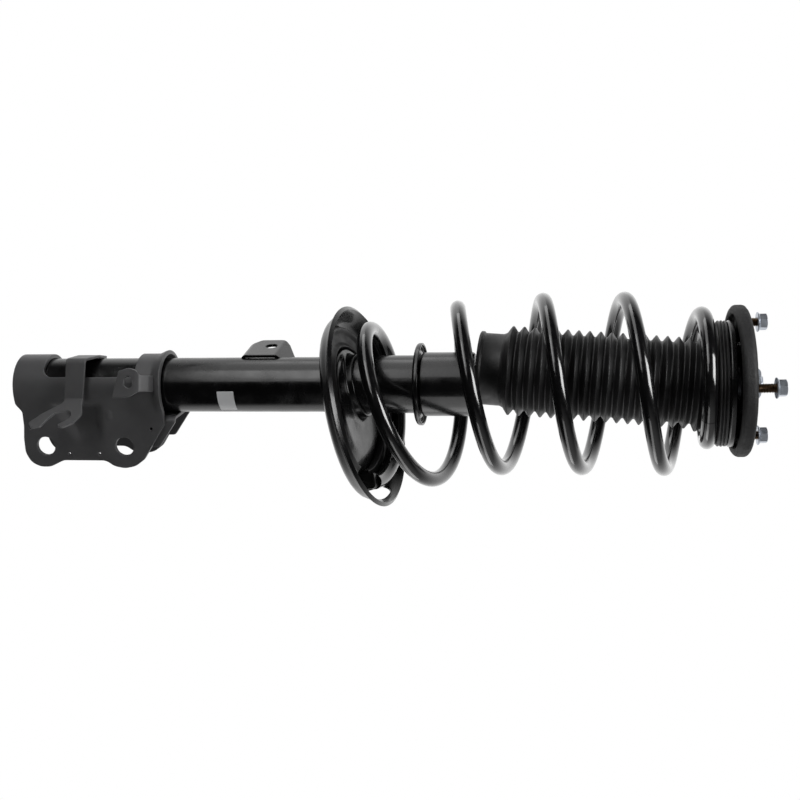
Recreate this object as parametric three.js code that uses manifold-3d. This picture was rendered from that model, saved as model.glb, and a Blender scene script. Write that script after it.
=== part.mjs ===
// MacPherson strut assembly: damper tube with its welded brackets, coil spring, dust boot,
// upper spring seat with its thrust bearing, and the canted top mount with three studs.
// Millimetres. +Z runs along the strut from its foot to the top mount, and the origin is the
// centre of the tube's foot. +X is the side that the knuckle ears point to.
import * as THREE from 'three';
import Module from 'manifold-3d';
import { mergeVertices } from 'three/addons/utils/BufferGeometryUtils.js';

const wasm = await Module();
wasm.setup();

// ---------------------------------------------------------------- driving dimensions
const CLEARANCE = 0.3;            // between pieces that touch
const RUNNING = 0.5;              // between pieces that slide on each other

const TUBE_R = 25.5;              // lower part of the outer tube
const TUBE_SWELL = 1.1;           // the tube is this much wider above the seat
const TUBE_NECK_R = TUBE_R + TUBE_SWELL;
const TUBE_WALL = 2.2;
const TUBE_LENGTH = 434.5;
const TUBE_STEP_Z = 322;
const BASE_THICKNESS = 5;

const CYLINDER_R = 17.5;          // pressure cylinder
const CYLINDER_WALL = 1.5;
const VALVE_HEIGHT = 9;
const GUIDE_HEIGHT = 14;
const SEAL_HEIGHT = 5;

const ROD_R = 11;
const ROD_TIP_R = 7;              // threaded upper end
const ROD_REACH = 255.5;          // rod tip above the tube's upper end, at full length
const ROD_TIP_Z = TUBE_LENGTH + ROD_REACH;
const ROD_THREAD = 29;            // narrow upper end
const ROD_SHOULDER_Z = ROD_TIP_Z - ROD_THREAD;
const ROD_FOOT_R = 6;
const PISTON_HEIGHT = 18;
const PISTON_DEPTH = 62.5;        // piston foot below the tube's upper end
const PISTON_Z = TUBE_LENGTH - PISTON_DEPTH;
const REBOUND_STOP_HEIGHT = 8;

const SLEEVE_WALL = 2.6;          // gland sleeve at the top of the tube
const SLEEVE_R = TUBE_NECK_R + SLEEVE_WALL;
const SLEEVE_COVER = 45;
const SLEEVE_START_Z = TUBE_LENGTH - SLEEVE_COVER;
const SLEEVE_OVERHANG = 3;
const SLEEVE_END_Z = TUBE_LENGTH + SLEEVE_OVERHANG;
const STOP_PLATE_WIDTH = 8.6;     // thin flanged ring below the sleeve
const STOP_PLATE_R = SLEEVE_R + STOP_PLATE_WIDTH;
const STOP_PLATE_LIP = 5;
const STOP_PLATE_Z = SLEEVE_START_Z - STOP_PLATE_LIP;
const STOP_PLATE_SHEET = 2;

const BRACKET_CLOCK = THREE.MathUtils.degToRad(14);
const BRACKET_SHEET = 4;
const BRACKET_END_Z = 147;
const BRACKET_COLLAR_END_Z = 139;
const BRACKET_FLARE = 3.6;        // the collar's edge flares by this
const WINDOW_START_Z = 30;
const WINDOW_END_Z = 121;
const WINDOW_SIDE = 13.3;         // how far behind the tube's axis the window begins
const WINDOW_CORNER = 8;
const EAR_START_Z = 5.5;
const EAR_PINCH = 2.5;            // the ears step in by this below the tube
const EAR_PINCH_X = 20;
const EAR_EDGE_X = 67.6;
const BOLT_X = 53.5;
const BOLT_LOW_Z = 26.6;
const BOLT_HIGH_Z = 105.7;
const BOLT_HOLE_R = 9;
const LOBE_R = 20;
const BRACE_SHEET = 3;
const BRACE_START_Z = 14;
const BRACE_END_Z = 156;
const BRACE_SHORT_X = 40;
const BRACE_LONG_X = 55;
const BRACE_STEP_Z = 119;

const HOSE_BRACKET_Z = 56;        // near edge of the hose strap
const HOSE_BRACKET_WIDTH = 20;
const HOSE_BRACKET_SHEET = 2.5;
const HOSE_PLATE_Y = -(TUBE_R + 13); // outer face of the flat plate
const HOSE_PLATE_RISE = 21;       // how far the plate reaches behind the tube's axis
const HOSE_FORK_X = 13;
const HOSE_FORK_REACH = 34;
const HOSE_FORK_GAP = 9;
const HOSE_FORK_SLOPE = THREE.MathUtils.degToRad(41);

const SENSOR_Z = 122;             // slot centre of the sensor bracket
const SENSOR_Y = -(TUBE_R + 23.5);
const SENSOR_X = -1.5;
const SENSOR_R = 13;
const SENSOR_SLOT = 7.5;
const SENSOR_SLOT_LENGTH = 11;
const SENSOR_SHEET = 3;

const LINK_SLOPE = THREE.MathUtils.degToRad(21.5);
const LINK_PLATE_START_Z = 220;
const LINK_PLATE_END_Z = 250;
const LINK_END_Z = 269;
const LINK_REACH = 46;
const LINK_SHEET = 3;
const LINK_HOLE_R = 5.6;

const LABEL_START_Z = 200;
const LABEL_WIDTH = 16;
const LABEL_THICKNESS = 0.35;

const SEAT_R = 93;                // outside of the rolled rim
const SEAT_CENTRE_X = 20;
const SEAT_CENTRE_Z = 339;
const SEAT_TILT_X = 0.2;          // rise per mm towards +X
const SEAT_TILT_Y = 0.21;         // rise per mm towards +Y
const SEAT_SHEET = 3;
const SEAT_DEPTH = 24;            // floor below the rim plane
const SEAT_FLOOR_R = 66;
const SEAT_RIM_HEIGHT = 3;
const SEAT_HUB_RISE = 9;
const SEAT_HUB_R = 47;
const SEAT_WINDOW_HALF_ANGLE = THREE.MathUtils.degToRad(13);
const PAD_THICKNESS = 5;
const PAD_WIDTH = 22;
const PAD_OUTER_STEP = 8;
const PAD_OUTER_RISE = 2.2;
const PAD_LIP = 2;

const BOOT_SWING = THREE.MathUtils.degToRad(4.28);
const BOOT_BELOW_TIP = 39;
const BOOT_TOP_Z = ROD_TIP_Z - BOOT_BELOW_TIP;
const BOOT_PIVOT_DROP = 19;
const BOOT_PIVOT_Z = BOOT_TOP_Z - BOOT_PIVOT_DROP;
const BOOT_SLEEVE_GAP = 2.8;
const BOOT_LOW_Z = SLEEVE_END_Z + BOOT_SLEEVE_GAP;
const BOOT_WALL = 1.4;
const BOOT_BORE_GAP = 2;          // between the boot and the gland sleeve
const BOOT_BORE_R = SLEEVE_R + BOOT_BORE_GAP;
const BOOT_CUFF_R = BOOT_BORE_R + BOOT_WALL;
const BOOT_CUFF_LENGTH = 24;
const BOOT_ROOT_R = BOOT_BORE_R + 2 * BOOT_WALL;
const BOOT_FOLD = 7;              // depth of a fold
const BOOT_CREST_R = BOOT_ROOT_R + BOOT_FOLD;
const BOOT_FOLDS = 17;
const BOOT_COLLAR = 20.95;        // plain length above the folds
const BOOT_PITCH =
  (BOOT_TOP_Z - BOOT_LOW_Z - BOOT_CUFF_LENGTH - BOOT_COLLAR) / BOOT_FOLDS;

const BUMP_R = 22;
const BUMP_LENGTH = 63;
const BUMP_BELOW_TIP = 46;
const BUMP_TOP_Z = ROD_TIP_Z - BUMP_BELOW_TIP;
const BUMP_LOW_Z = BUMP_TOP_Z - BUMP_LENGTH;
const BUMP_CUP_SHEET = 1.5;

const INSULATOR_BELOW_TIP = 40.4;
const INSULATOR_START_Z = ROD_TIP_Z - INSULATOR_BELOW_TIP;

const WIRE_R = 7;
const SPRING_R = 75;
const SPRING_LOW_R = 70;
const SPRING_TOP_GAP = 3;         // between the closed coil and the boot
const SPRING_TOP_R = BOOT_CREST_R + SPRING_TOP_GAP + WIRE_R;
const SPRING_TURNS_BELOW = 0.5;   // part turn lying in the lower seat
const SPRING_TOP_Z = INSULATOR_START_Z - CLEARANCE - WIRE_R; // wire centre of the closed coil
const SPRING_RISE_TURNS = 4.3375; // turns that it takes from seat to seat
const SPRING_LIFT_TURNS = 0.165;  // how gently the wire leaves the lower seat
const SPRING_CLOSE = 6;           // how gently it closes at the top
const SPRING_TURNS = 4.95;

const INSULATOR_MARGIN = 4.6;     // beyond the closed coil's centre line
const INSULATOR_R = SPRING_TOP_R + INSULATOR_MARGIN;
const INSULATOR_HEIGHT = 8.8;
const UPPER_SEAT_R = INSULATOR_R + 0.2;
const UPPER_SEAT_SHEET = 2.5;
const UPPER_SEAT_BELOW_TIP = 25.5;
const UPPER_SEAT_TOP_Z = ROD_TIP_Z - UPPER_SEAT_BELOW_TIP;
const BEARING_R = 27;
const BEARING_BORE_R = 20;
const RACE_HEIGHT = 2.2;
const BALL_R = 2;
const BALL_COUNT = 8;
const BEARING_BELOW_TIP = 32;
const BEARING_LOW_Z = ROD_TIP_Z - BEARING_BELOW_TIP;

const MOUNT_RIM_WIDTH = 8;
const MOUNT_SEAT_GAP = 3.2;         // round the outside of the upper seat
const MOUNT_R = UPPER_SEAT_R + MOUNT_SEAT_GAP + MOUNT_RIM_WIDTH;
const MOUNT_CENTRE_X = -2.3;
const MOUNT_BELOW_TIP = 14;
const MOUNT_TOP_Z = ROD_TIP_Z - MOUNT_BELOW_TIP;
const MOUNT_THICKNESS = 6;
const MOUNT_RIM_DROP = 6.5;       // rim hangs this much lower than the disc
const MOUNT_CANT_X = 0.02;        // rise per mm towards +X
const MOUNT_CANT_Y = -0.075;      // rise per mm towards +Y
const MOUNT_PLATE_R = 34;
const BUSH_R = 26;
const BUSH_SLEEVE_R = 11.5;
const STUD_CIRCLE_R = MOUNT_R - 8;
const STUD_CLOCK = THREE.MathUtils.degToRad(-84);
const STUD_R = 4;
const STUD_LENGTH = 22;
const STUD_HEAD_R = 6;
const STUD_HEAD_HEIGHT = 2.5;
const NUT_FLANGE_R = 8.9;
const NUT_FLANGE_HEIGHT = 2;
const NUT_ACROSS_FLATS = 13;
const NUT_HEIGHT = 8.6;
const NUT_BASE = 14.5;            // nut seat above the mount's top face
const ROD_NUT_ACROSS_FLATS = 22;
const ROD_NUT_HEIGHT = 9;

// ---------------------------------------------------------------- finishes
const finish = (color, roughness, metalness) => () =>
  new THREE.MeshStandardMaterial({ color, roughness, metalness });
const glossyPaint = finish(0x0b0b0c, 0.18, 0.3);
const satinCoat = finish(0x2e2e2f, 0.5, 0.3);
const springEnamel = finish(0x0c0c0d, 0.2, 0.2);
const bootRubber = finish(0x101011, 0.55, 0);
const mountRubber = finish(0x1c1c1d, 0.8, 0);
const brightZinc = finish(0xb9c4d2, 0.28, 0.95);
const yellowZinc = finish(0x8a7256, 0.38, 0.9);
const steel = finish(0x8d9094, 0.35, 0.9);
const chromedSteel = finish(0xc4c7ca, 0.12, 1);
const foam = finish(0xc9b98e, 0.9, 0);
const polymer = finish(0x1d2a3d, 0.6, 0);
const labelFilm = finish(0xb9babb, 0.45, 0);

// ---------------------------------------------------------------- solids
// Signed volume of an indexed geometry, negative when its faces point inwards.
function signedVolume(position, index) {
  const [a, b, c] = [new THREE.Vector3(), new THREE.Vector3(), new THREE.Vector3()];
  let total = 0;
  for (let i = 0; i < index.length; i += 3) {
    a.fromBufferAttribute(position, index[i]);
    b.fromBufferAttribute(position, index[i + 1]);
    c.fromBufferAttribute(position, index[i + 2]);
    total += a.dot(b.cross(c)) / 6;
  }
  return total;
}

// A closed geometry with merged vertices, its faces turned out, as a boolean solid.
function solid(geometry) {
  const bare = geometry.index ? geometry.toNonIndexed() : geometry.clone();
  bare.deleteAttribute('normal');
  bare.deleteAttribute('uv');
  const merged = mergeVertices(bare, 1e-3);
  const index = [];
  for (let i = 0; i < merged.index.count; i += 3) {
    const [a, b, c] = [0, 1, 2].map((k) => merged.index.getX(i + k));
    if (a !== b && b !== c && c !== a) index.push(a, b, c);
  }
  const position = merged.getAttribute('position');
  if (signedVolume(position, index) < 0) index.reverse();
  return new wasm.Manifold(new wasm.Mesh({
    numProp: 3,
    vertProperties: new Float32Array(position.array),
    triVerts: new Uint32Array(index),
  }));
}

function toGeometry(body) {
  const { vertProperties, triVerts, numProp } = body.getMesh();
  const position = new Float32Array((vertProperties.length / numProp) * 3);
  for (let i = 0; i < position.length / 3; i += 1) {
    for (let k = 0; k < 3; k += 1) position[3 * i + k] = vertProperties[numProp * i + k];
  }
  const geometry = new THREE.BufferGeometry();
  geometry.setAttribute('position', new THREE.BufferAttribute(position, 3));
  geometry.setIndex(new THREE.BufferAttribute(new Uint32Array(triVerts), 1));
  geometry.computeVertexNormals();
  return geometry;
}

// Turned piece about Z from a closed outline of [radius, z] points.
function turned(outline, segments = 20) {
  const points = outline.map(([r, z]) => new THREE.Vector2(r, z));
  const onAxis = outline[0][0] === 0 && outline[outline.length - 1][0] === 0;
  if (!onAxis) points.push(points[0].clone());
  return solid(new THREE.LatheGeometry(points, segments).rotateX(Math.PI / 2));
}

const bar = (r, z0, z1, segments) => turned([[0, z0], [r, z0], [r, z1], [0, z1]], segments);
const ring = (inner, outer, z0, z1, segments) =>
  turned([[inner, z0], [outer, z0], [outer, z1], [inner, z1]], segments);

// Rounded rectangle as a shape, by its two corners and its corner radius.
function roundedRectangle(x0, y0, x1, y1, r) {
  const shape = new THREE.Shape();
  shape.moveTo(x0 + r, y0);
  shape.lineTo(x1 - r, y0);
  shape.absarc(x1 - r, y0 + r, r, -Math.PI / 2, 0);
  shape.lineTo(x1, y1 - r);
  shape.absarc(x1 - r, y1 - r, r, 0, Math.PI / 2);
  shape.lineTo(x0 + r, y1);
  shape.absarc(x0 + r, y1 - r, r, Math.PI / 2, Math.PI);
  shape.lineTo(x0, y0 + r);
  shape.absarc(x0 + r, y0 + r, r, Math.PI, 1.5 * Math.PI);
  return shape;
}

// Shape in the XY plane extruded from z0 to z1.
const extruded = (shape, z0, z1, curveSegments = 8) => new THREE.ExtrudeGeometry(shape, {
  depth: z1 - z0, bevelEnabled: false, curveSegments,
}).translate(0, 0, z0);

// Shape drawn as (x, z), extruded along Y from y0 to y1.
const sideProfile = (shape, y0, y1, curveSegments = 8) =>
  extruded(shape, 0, y1 - y0, curveSegments).rotateX(Math.PI / 2).translate(0, y1, 0);

const box = (x0, y0, z0, x1, y1, z1) => solid(new THREE.BoxGeometry(x1 - x0, y1 - y0, z1 - z0)
  .translate((x0 + x1) / 2, (y0 + y1) / 2, (z0 + z1) / 2));

const cylinderAlongY = (r, x, z, y0, y1, segments = 20) => solid(
  new THREE.CylinderGeometry(r, r, y1 - y0, segments).translate(x, (y0 + y1) / 2, z));

function mesh(name, body, material) {
  const piece = new THREE.Mesh(toGeometry(body), material());
  piece.name = name;
  return piece;
}

// ---------------------------------------------------------------- damper
const TUBE_BORE_R = TUBE_R - TUBE_WALL;
const SEAL_TOP_Z = TUBE_LENGTH - 1;
const GUIDE_TOP_Z = SEAL_TOP_Z - SEAL_HEIGHT - CLEARANCE;
const GUIDE_LOW_Z = GUIDE_TOP_Z - GUIDE_HEIGHT;
const VALVE_LOW_Z = BASE_THICKNESS + CLEARANCE;
const CYLINDER_LOW_Z = VALVE_LOW_Z + VALVE_HEIGHT + CLEARANCE;
const CYLINDER_TOP_Z = GUIDE_LOW_Z - CLEARANCE;
const CYLINDER_BORE_R = CYLINDER_R - CYLINDER_WALL;

function outerTube() {
  return turned([
    [TUBE_BORE_R, 0], [TUBE_R, 0], [TUBE_R, TUBE_STEP_Z],
    [TUBE_NECK_R, TUBE_STEP_Z + 6], [TUBE_NECK_R, TUBE_LENGTH], [TUBE_BORE_R, TUBE_LENGTH],
  ], 32);
}

function baseCap() {
  const r = TUBE_BORE_R - CLEARANCE;
  return turned([[0, 0], [r - 4, 0], [r, 2], [r, BASE_THICKNESS], [0, BASE_THICKNESS]]);
}

function baseValve() {
  const r = TUBE_BORE_R - CLEARANCE;
  const top = VALVE_LOW_Z + VALVE_HEIGHT;
  const body = bar(r, VALVE_LOW_Z, top);
  let port = ring(CYLINDER_R + 1, r + 1, VALVE_LOW_Z + 3, top + 1);
  for (let k = 0; k < 4; k += 1) {
    const angle = (k * Math.PI) / 2;
    const hole = solid(new THREE.CylinderGeometry(2, 2, VALVE_HEIGHT * 3, 10)
      .rotateX(Math.PI / 2)
      .translate(9 * Math.cos(angle), 9 * Math.sin(angle), VALVE_LOW_Z));
    port = port.add(hole);
  }
  return body.subtract(port);
}

function rodGuide() {
  const r = TUBE_BORE_R - CLEARANCE;
  return turned([
    [ROD_R + RUNNING, GUIDE_LOW_Z - 6], [CYLINDER_BORE_R - CLEARANCE, GUIDE_LOW_Z - 6],
    [CYLINDER_BORE_R - CLEARANCE, GUIDE_LOW_Z], [r, GUIDE_LOW_Z], [r, GUIDE_TOP_Z],
    [ROD_R + RUNNING, GUIDE_TOP_Z],
  ]);
}

function oilSeal() {
  const low = SEAL_TOP_Z - SEAL_HEIGHT;
  return turned([
    [ROD_R + CLEARANCE, low + 1], [ROD_R + 3, low], [TUBE_BORE_R - CLEARANCE, low],
    [TUBE_BORE_R - CLEARANCE, SEAL_TOP_Z], [ROD_R + 3, SEAL_TOP_Z],
    [ROD_R + CLEARANCE, SEAL_TOP_Z - 1],
  ]);
}

function glandSleeve() {
  return turned([
    [TUBE_NECK_R + CLEARANCE, SLEEVE_START_Z], [SLEEVE_R - 0.8, SLEEVE_START_Z],
    [SLEEVE_R, SLEEVE_START_Z + 0.8], [SLEEVE_R, SLEEVE_END_Z - 2],
    [SLEEVE_R - 2, SLEEVE_END_Z], [ROD_R + 2, SLEEVE_END_Z],
    [ROD_R + 2, TUBE_LENGTH + CLEARANCE], [TUBE_NECK_R + CLEARANCE, TUBE_LENGTH + CLEARANCE],
  ], 28);
}

function stopPlate() {
  const top = STOP_PLATE_Z + STOP_PLATE_SHEET;
  const lip = STOP_PLATE_Z + STOP_PLATE_LIP;
  return turned([
    [TUBE_NECK_R + CLEARANCE, STOP_PLATE_Z], [STOP_PLATE_R, STOP_PLATE_Z], [STOP_PLATE_R, lip],
    [STOP_PLATE_R - STOP_PLATE_SHEET, lip], [STOP_PLATE_R - STOP_PLATE_SHEET, top],
    [TUBE_NECK_R + CLEARANCE, top],
  ], 28);
}

// ---------------------------------------------------------------- knuckle bracket
const WRAP_BORE_R = TUBE_R + CLEARANCE;
const WRAP_R = WRAP_BORE_R + BRACKET_SHEET;
const EAR_OUTER_Y = WRAP_R - EAR_PINCH;
const EAR_INNER_Y = EAR_OUTER_Y - BRACKET_SHEET;
const EAR_REACH_X = BOLT_X + LOBE_R;

// Cross-section of the wrapped sheet: a round back and two ears that step in.
function wrapSection() {
  const shape = new THREE.Shape();
  const reach = EAR_REACH_X + 5;
  shape.moveTo(reach, -EAR_OUTER_Y);
  shape.lineTo(reach, -EAR_INNER_Y);
  shape.lineTo(EAR_PINCH_X, -EAR_INNER_Y);
  shape.lineTo(0, -WRAP_BORE_R);
  shape.absarc(0, 0, WRAP_BORE_R, 1.5 * Math.PI, Math.PI / 2, true);
  shape.lineTo(EAR_PINCH_X, EAR_INNER_Y);
  shape.lineTo(reach, EAR_INNER_Y);
  shape.lineTo(reach, EAR_OUTER_Y);
  shape.lineTo(EAR_PINCH_X, EAR_OUTER_Y);
  shape.lineTo(0, WRAP_R);
  shape.absarc(0, 0, WRAP_R, Math.PI / 2, 1.5 * Math.PI, false);
  shape.lineTo(EAR_PINCH_X, -EAR_OUTER_Y);
  return shape;
}

// Side outline of the bracket: straight back, two round lobes and a slanted upper edge.
function earOutline() {
  const shape = new THREE.Shape();
  shape.moveTo(-WRAP_R - 5, 0);
  shape.lineTo(12, 0);
  shape.lineTo(EAR_PINCH_X + 2, EAR_START_Z);
  shape.lineTo(BOLT_X, BOLT_LOW_Z - LOBE_R);
  shape.absarc(BOLT_X, BOLT_LOW_Z, LOBE_R, -Math.PI / 2, 0.25 * Math.PI);
  shape.lineTo(EAR_EDGE_X, BOLT_LOW_Z + 22);
  shape.lineTo(EAR_EDGE_X, BOLT_HIGH_Z - 22);
  shape.absarc(BOLT_X, BOLT_HIGH_Z, LOBE_R, -0.25 * Math.PI, 0.32 * Math.PI);
  shape.lineTo(36, BRACKET_END_Z);
  shape.lineTo(-WRAP_R - 5, BRACKET_END_Z);
  return shape;
}

function boltHoles() {
  const far = WRAP_R + 20;
  return cylinderAlongY(BOLT_HOLE_R, BOLT_X, BOLT_LOW_Z, -far, far)
    .add(cylinderAlongY(BOLT_HOLE_R, BOLT_X, BOLT_HIGH_Z, -far, far));
}

function knuckleBracket() {
  const far = WRAP_R + 20;
  const sheet = solid(extruded(wrapSection(), 0, BRACKET_END_Z, 12));
  const outline = solid(sideProfile(earOutline(), -far, far));
  const collarCut = box(-far, -far, BRACKET_COLLAR_END_Z, 6, far, BRACKET_END_Z + 5);
  const lip = turned([
    [WRAP_BORE_R, BRACKET_COLLAR_END_Z - 1], [WRAP_R, BRACKET_COLLAR_END_Z - 1],
    [WRAP_R + 0.4, BRACKET_COLLAR_END_Z + 2], [WRAP_R + BRACKET_FLARE, BRACKET_END_Z],
    [WRAP_BORE_R + BRACKET_FLARE, BRACKET_END_Z], [WRAP_BORE_R + 0.6, BRACKET_COLLAR_END_Z + 3],
  ], 24).subtract(box(5, -far, 0, far, far, BRACKET_END_Z + 5));
  const window = solid(sideProfile(roundedRectangle(
    -far, WINDOW_START_Z, -WINDOW_SIDE, WINDOW_END_Z, WINDOW_CORNER), -far, far));
  return sheet.intersect(outline).subtract(collarCut).add(lip).subtract(window)
    .subtract(boltHoles());
}

// Folded channel welded between the ears, under the tube, with longer legs at its upper end.
function bracketBrace() {
  const outer = EAR_INNER_Y - CLEARANCE;
  const web = TUBE_R + CLEARANCE;
  const legs = new THREE.Shape();
  legs.moveTo(web, BRACE_START_Z);
  legs.lineTo(BRACE_SHORT_X, BRACE_START_Z);
  legs.lineTo(BRACE_SHORT_X, BRACE_STEP_Z);
  legs.lineTo(BRACE_LONG_X, BRACE_STEP_Z + 6);
  legs.lineTo(BRACE_LONG_X, BRACE_END_Z - 17);
  legs.lineTo(web + 4, BRACE_END_Z);
  legs.lineTo(web, BRACE_END_Z);
  const block = solid(sideProfile(legs, -outer, outer));
  const hollow = box(web + BRACE_SHEET, BRACE_SHEET - outer, 0, 99, outer - BRACE_SHEET, 200);
  return block.subtract(hollow).subtract(boltHoles());
}

// ---------------------------------------------------------------- small brackets on the tube
// Hose bracket: a strap over the tube, a flat plate in front, and a fork with two prongs that
// slopes out and down from the plate's lower edge.
function hoseBracket() {
  const inner = TUBE_R + CLEARANCE;
  const t = HOSE_BRACKET_SHEET;
  const y = HOSE_PLATE_Y;
  const strap = new THREE.Shape();
  strap.moveTo(-inner - t, 8);
  strap.lineTo(-inner, 8);
  strap.lineTo(-inner, -8);
  strap.lineTo(t - HOSE_PLATE_RISE, y + t + 1);
  strap.lineTo(HOSE_FORK_X, y + t);
  strap.lineTo(HOSE_FORK_X, y);
  strap.lineTo(-HOSE_PLATE_RISE, y);
  strap.lineTo(-inner - t, -10);
  const fork = new THREE.Shape();
  const z0 = HOSE_BRACKET_Z;
  const z1 = HOSE_BRACKET_Z + HOSE_BRACKET_WIDTH;
  const reach = HOSE_FORK_REACH;
  fork.moveTo(z0, -1);
  fork.lineTo(z0, 0.12 * reach);
  fork.lineTo(z0 - 22, 0.85 * reach);
  fork.lineTo(z0 - 17, reach);
  fork.lineTo(z0 - 9, 0.92 * reach);
  fork.absarc(z0 + 8, 0.66 * reach, HOSE_FORK_GAP, Math.PI, 1.95 * Math.PI);
  fork.lineTo(z0 + 6, 0.92 * reach);
  fork.lineTo(z0 + 13, reach);
  fork.lineTo(z1 + 8, 0.5 * reach);
  fork.lineTo(z1 + 13, 0.2 * reach);
  fork.lineTo(z1, -1);
  const slope = HOSE_FORK_SLOPE;
  const place = new THREE.Matrix4().makeBasis(
    new THREE.Vector3(0, 0, 1),
    new THREE.Vector3(Math.cos(slope), -Math.sin(slope), 0),
    new THREE.Vector3(Math.sin(slope), Math.cos(slope), 0),
  ).setPosition(HOSE_FORK_X - 1, y, 0);
  return solid(extruded(strap, z0, z1)).add(solid(extruded(fork, 0, t).applyMatrix4(place)));
}

// Sensor tab: a rounded plate with a slot, standing off the collar on a sloping leg.
function sensorBracket() {
  const plate = new THREE.Shape();
  plate.moveTo(SENSOR_X - SENSOR_R, SENSOR_Z + 4);
  plate.absarc(SENSOR_X, SENSOR_Z + 3, SENSOR_R, Math.PI, 0, true);
  plate.lineTo(SENSOR_X + SENSOR_R + 1, SENSOR_Z - 13);
  plate.lineTo(SENSOR_X - SENSOR_R + 1, SENSOR_Z - 9);
  const slot = roundedRectangle(
    SENSOR_X - SENSOR_SLOT_LENGTH / 2, SENSOR_Z - SENSOR_SLOT / 2,
    SENSOR_X + SENSOR_SLOT_LENGTH / 2, SENSOR_Z + SENSOR_SLOT / 2, SENSOR_SLOT / 2 - 0.01);
  const leg = new THREE.Shape();
  leg.moveTo(SENSOR_Z + 8, SENSOR_Y);
  leg.lineTo(SENSOR_Z + 16, SENSOR_Y + 4);
  leg.lineTo(SENSOR_Z + 16, -WRAP_R - CLEARANCE);
  leg.lineTo(SENSOR_Z + 12, -WRAP_R - CLEARANCE);
  leg.lineTo(SENSOR_Z + 12, SENSOR_Y + 6);
  leg.lineTo(SENSOR_Z + 6, SENSOR_Y + SENSOR_SHEET);
  const legBody = solid(new THREE.ExtrudeGeometry(leg, { depth: 16, bevelEnabled: false })
    .rotateY(-Math.PI / 2).translate(SENSOR_X + 8, 0, 0));
  return solid(sideProfile(plate, SENSOR_Y, SENSOR_Y + SENSOR_SHEET)).add(legBody)
    .subtract(solid(sideProfile(slot, SENSOR_Y - 5, SENSOR_Y + SENSOR_SHEET + 3)));
}

// Stabiliser link bracket: a sloping plate with a hole and a folded side at each end.
function linkBracket() {
  const inner = TUBE_R + CLEARANCE;
  const plate = new THREE.Shape();
  plate.moveTo(LINK_PLATE_START_Z, 0);
  plate.lineTo(LINK_PLATE_START_Z + 5, LINK_REACH);
  plate.lineTo(LINK_PLATE_END_Z + 5, LINK_REACH);
  plate.lineTo(LINK_END_Z - 2, LINK_REACH - 18);
  plate.lineTo(LINK_END_Z - 2, 0);
  const hole = new THREE.Path();
  hole.absarc((LINK_PLATE_START_Z + LINK_PLATE_END_Z) / 2 + 5, LINK_REACH * 0.6, LINK_HOLE_R, 0,
    2 * Math.PI);
  plate.holes.push(hole);
  const place = new THREE.Matrix4().makeBasis(
    new THREE.Vector3(0, 0, 1),
    new THREE.Vector3(-Math.sin(LINK_SLOPE), Math.cos(LINK_SLOPE), 0),
    new THREE.Vector3(-Math.cos(LINK_SLOPE), -Math.sin(LINK_SLOPE), 0),
  ).setPosition(-inner * Math.cos(LINK_SLOPE), -inner * Math.sin(LINK_SLOPE), 0);
  const top = solid(extruded(plate, 0, LINK_SHEET, 12).applyMatrix4(place));
  const side = (z) => {
    const wall = new THREE.Shape();
    wall.moveTo(0, 0);
    wall.lineTo(LINK_REACH * 0.7, 0);
    wall.lineTo(LINK_REACH * 0.55, -14);
    wall.lineTo(LINK_REACH * 0.35, -18);
    wall.lineTo(0, -10);
    const stand = new THREE.Matrix4().makeBasis(
      new THREE.Vector3(-Math.sin(LINK_SLOPE), Math.cos(LINK_SLOPE), 0),
      new THREE.Vector3(-Math.cos(LINK_SLOPE), -Math.sin(LINK_SLOPE), 0),
      new THREE.Vector3(0, 0, 1),
    ).setPosition(-(inner + 1) * Math.cos(LINK_SLOPE), -(inner + 1) * Math.sin(LINK_SLOPE), z);
    return solid(extruded(wall, 0, LINK_SHEET).applyMatrix4(stand));
  };
  return top.add(side(LINK_PLATE_START_Z)).add(side(LINK_END_Z - 2 - LINK_SHEET))
    .subtract(bar(inner, LINK_PLATE_START_Z - 20, LINK_END_Z + 20, 28));
}

// Printed label: a thin curved sticker on the front of the tube.
function label() {
  const sector = ring(TUBE_R + 0.1, TUBE_R + 0.1 + LABEL_THICKNESS, LABEL_START_Z,
    LABEL_START_Z + LABEL_WIDTH, 48);
  return sector.intersect(box(-4, -TUBE_R - 5, 0, TUBE_R - 1.5, -2, 999));
}

// ---------------------------------------------------------------- lower spring seat
// Matrix that carries the seat's own frame, rim plane at z = 0, to its tilted place.
function seatPlacement() {
  const z = new THREE.Vector3(-SEAT_TILT_X, -SEAT_TILT_Y, 1).normalize();
  const x = new THREE.Vector3(1, 0, SEAT_TILT_X).normalize();
  const y = new THREE.Vector3().crossVectors(z, x);
  return new THREE.Matrix4().makeBasis(x, y, z).setPosition(SEAT_CENTRE_X, 0, SEAT_CENTRE_Z);
}

function turnedInSeat(outline, segments) {
  const points = outline.map(([r, z]) => new THREE.Vector2(r, z));
  points.push(points[0].clone());
  return solid(new THREE.LatheGeometry(points, segments).rotateX(Math.PI / 2)
    .applyMatrix4(seatPlacement()));
}

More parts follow.
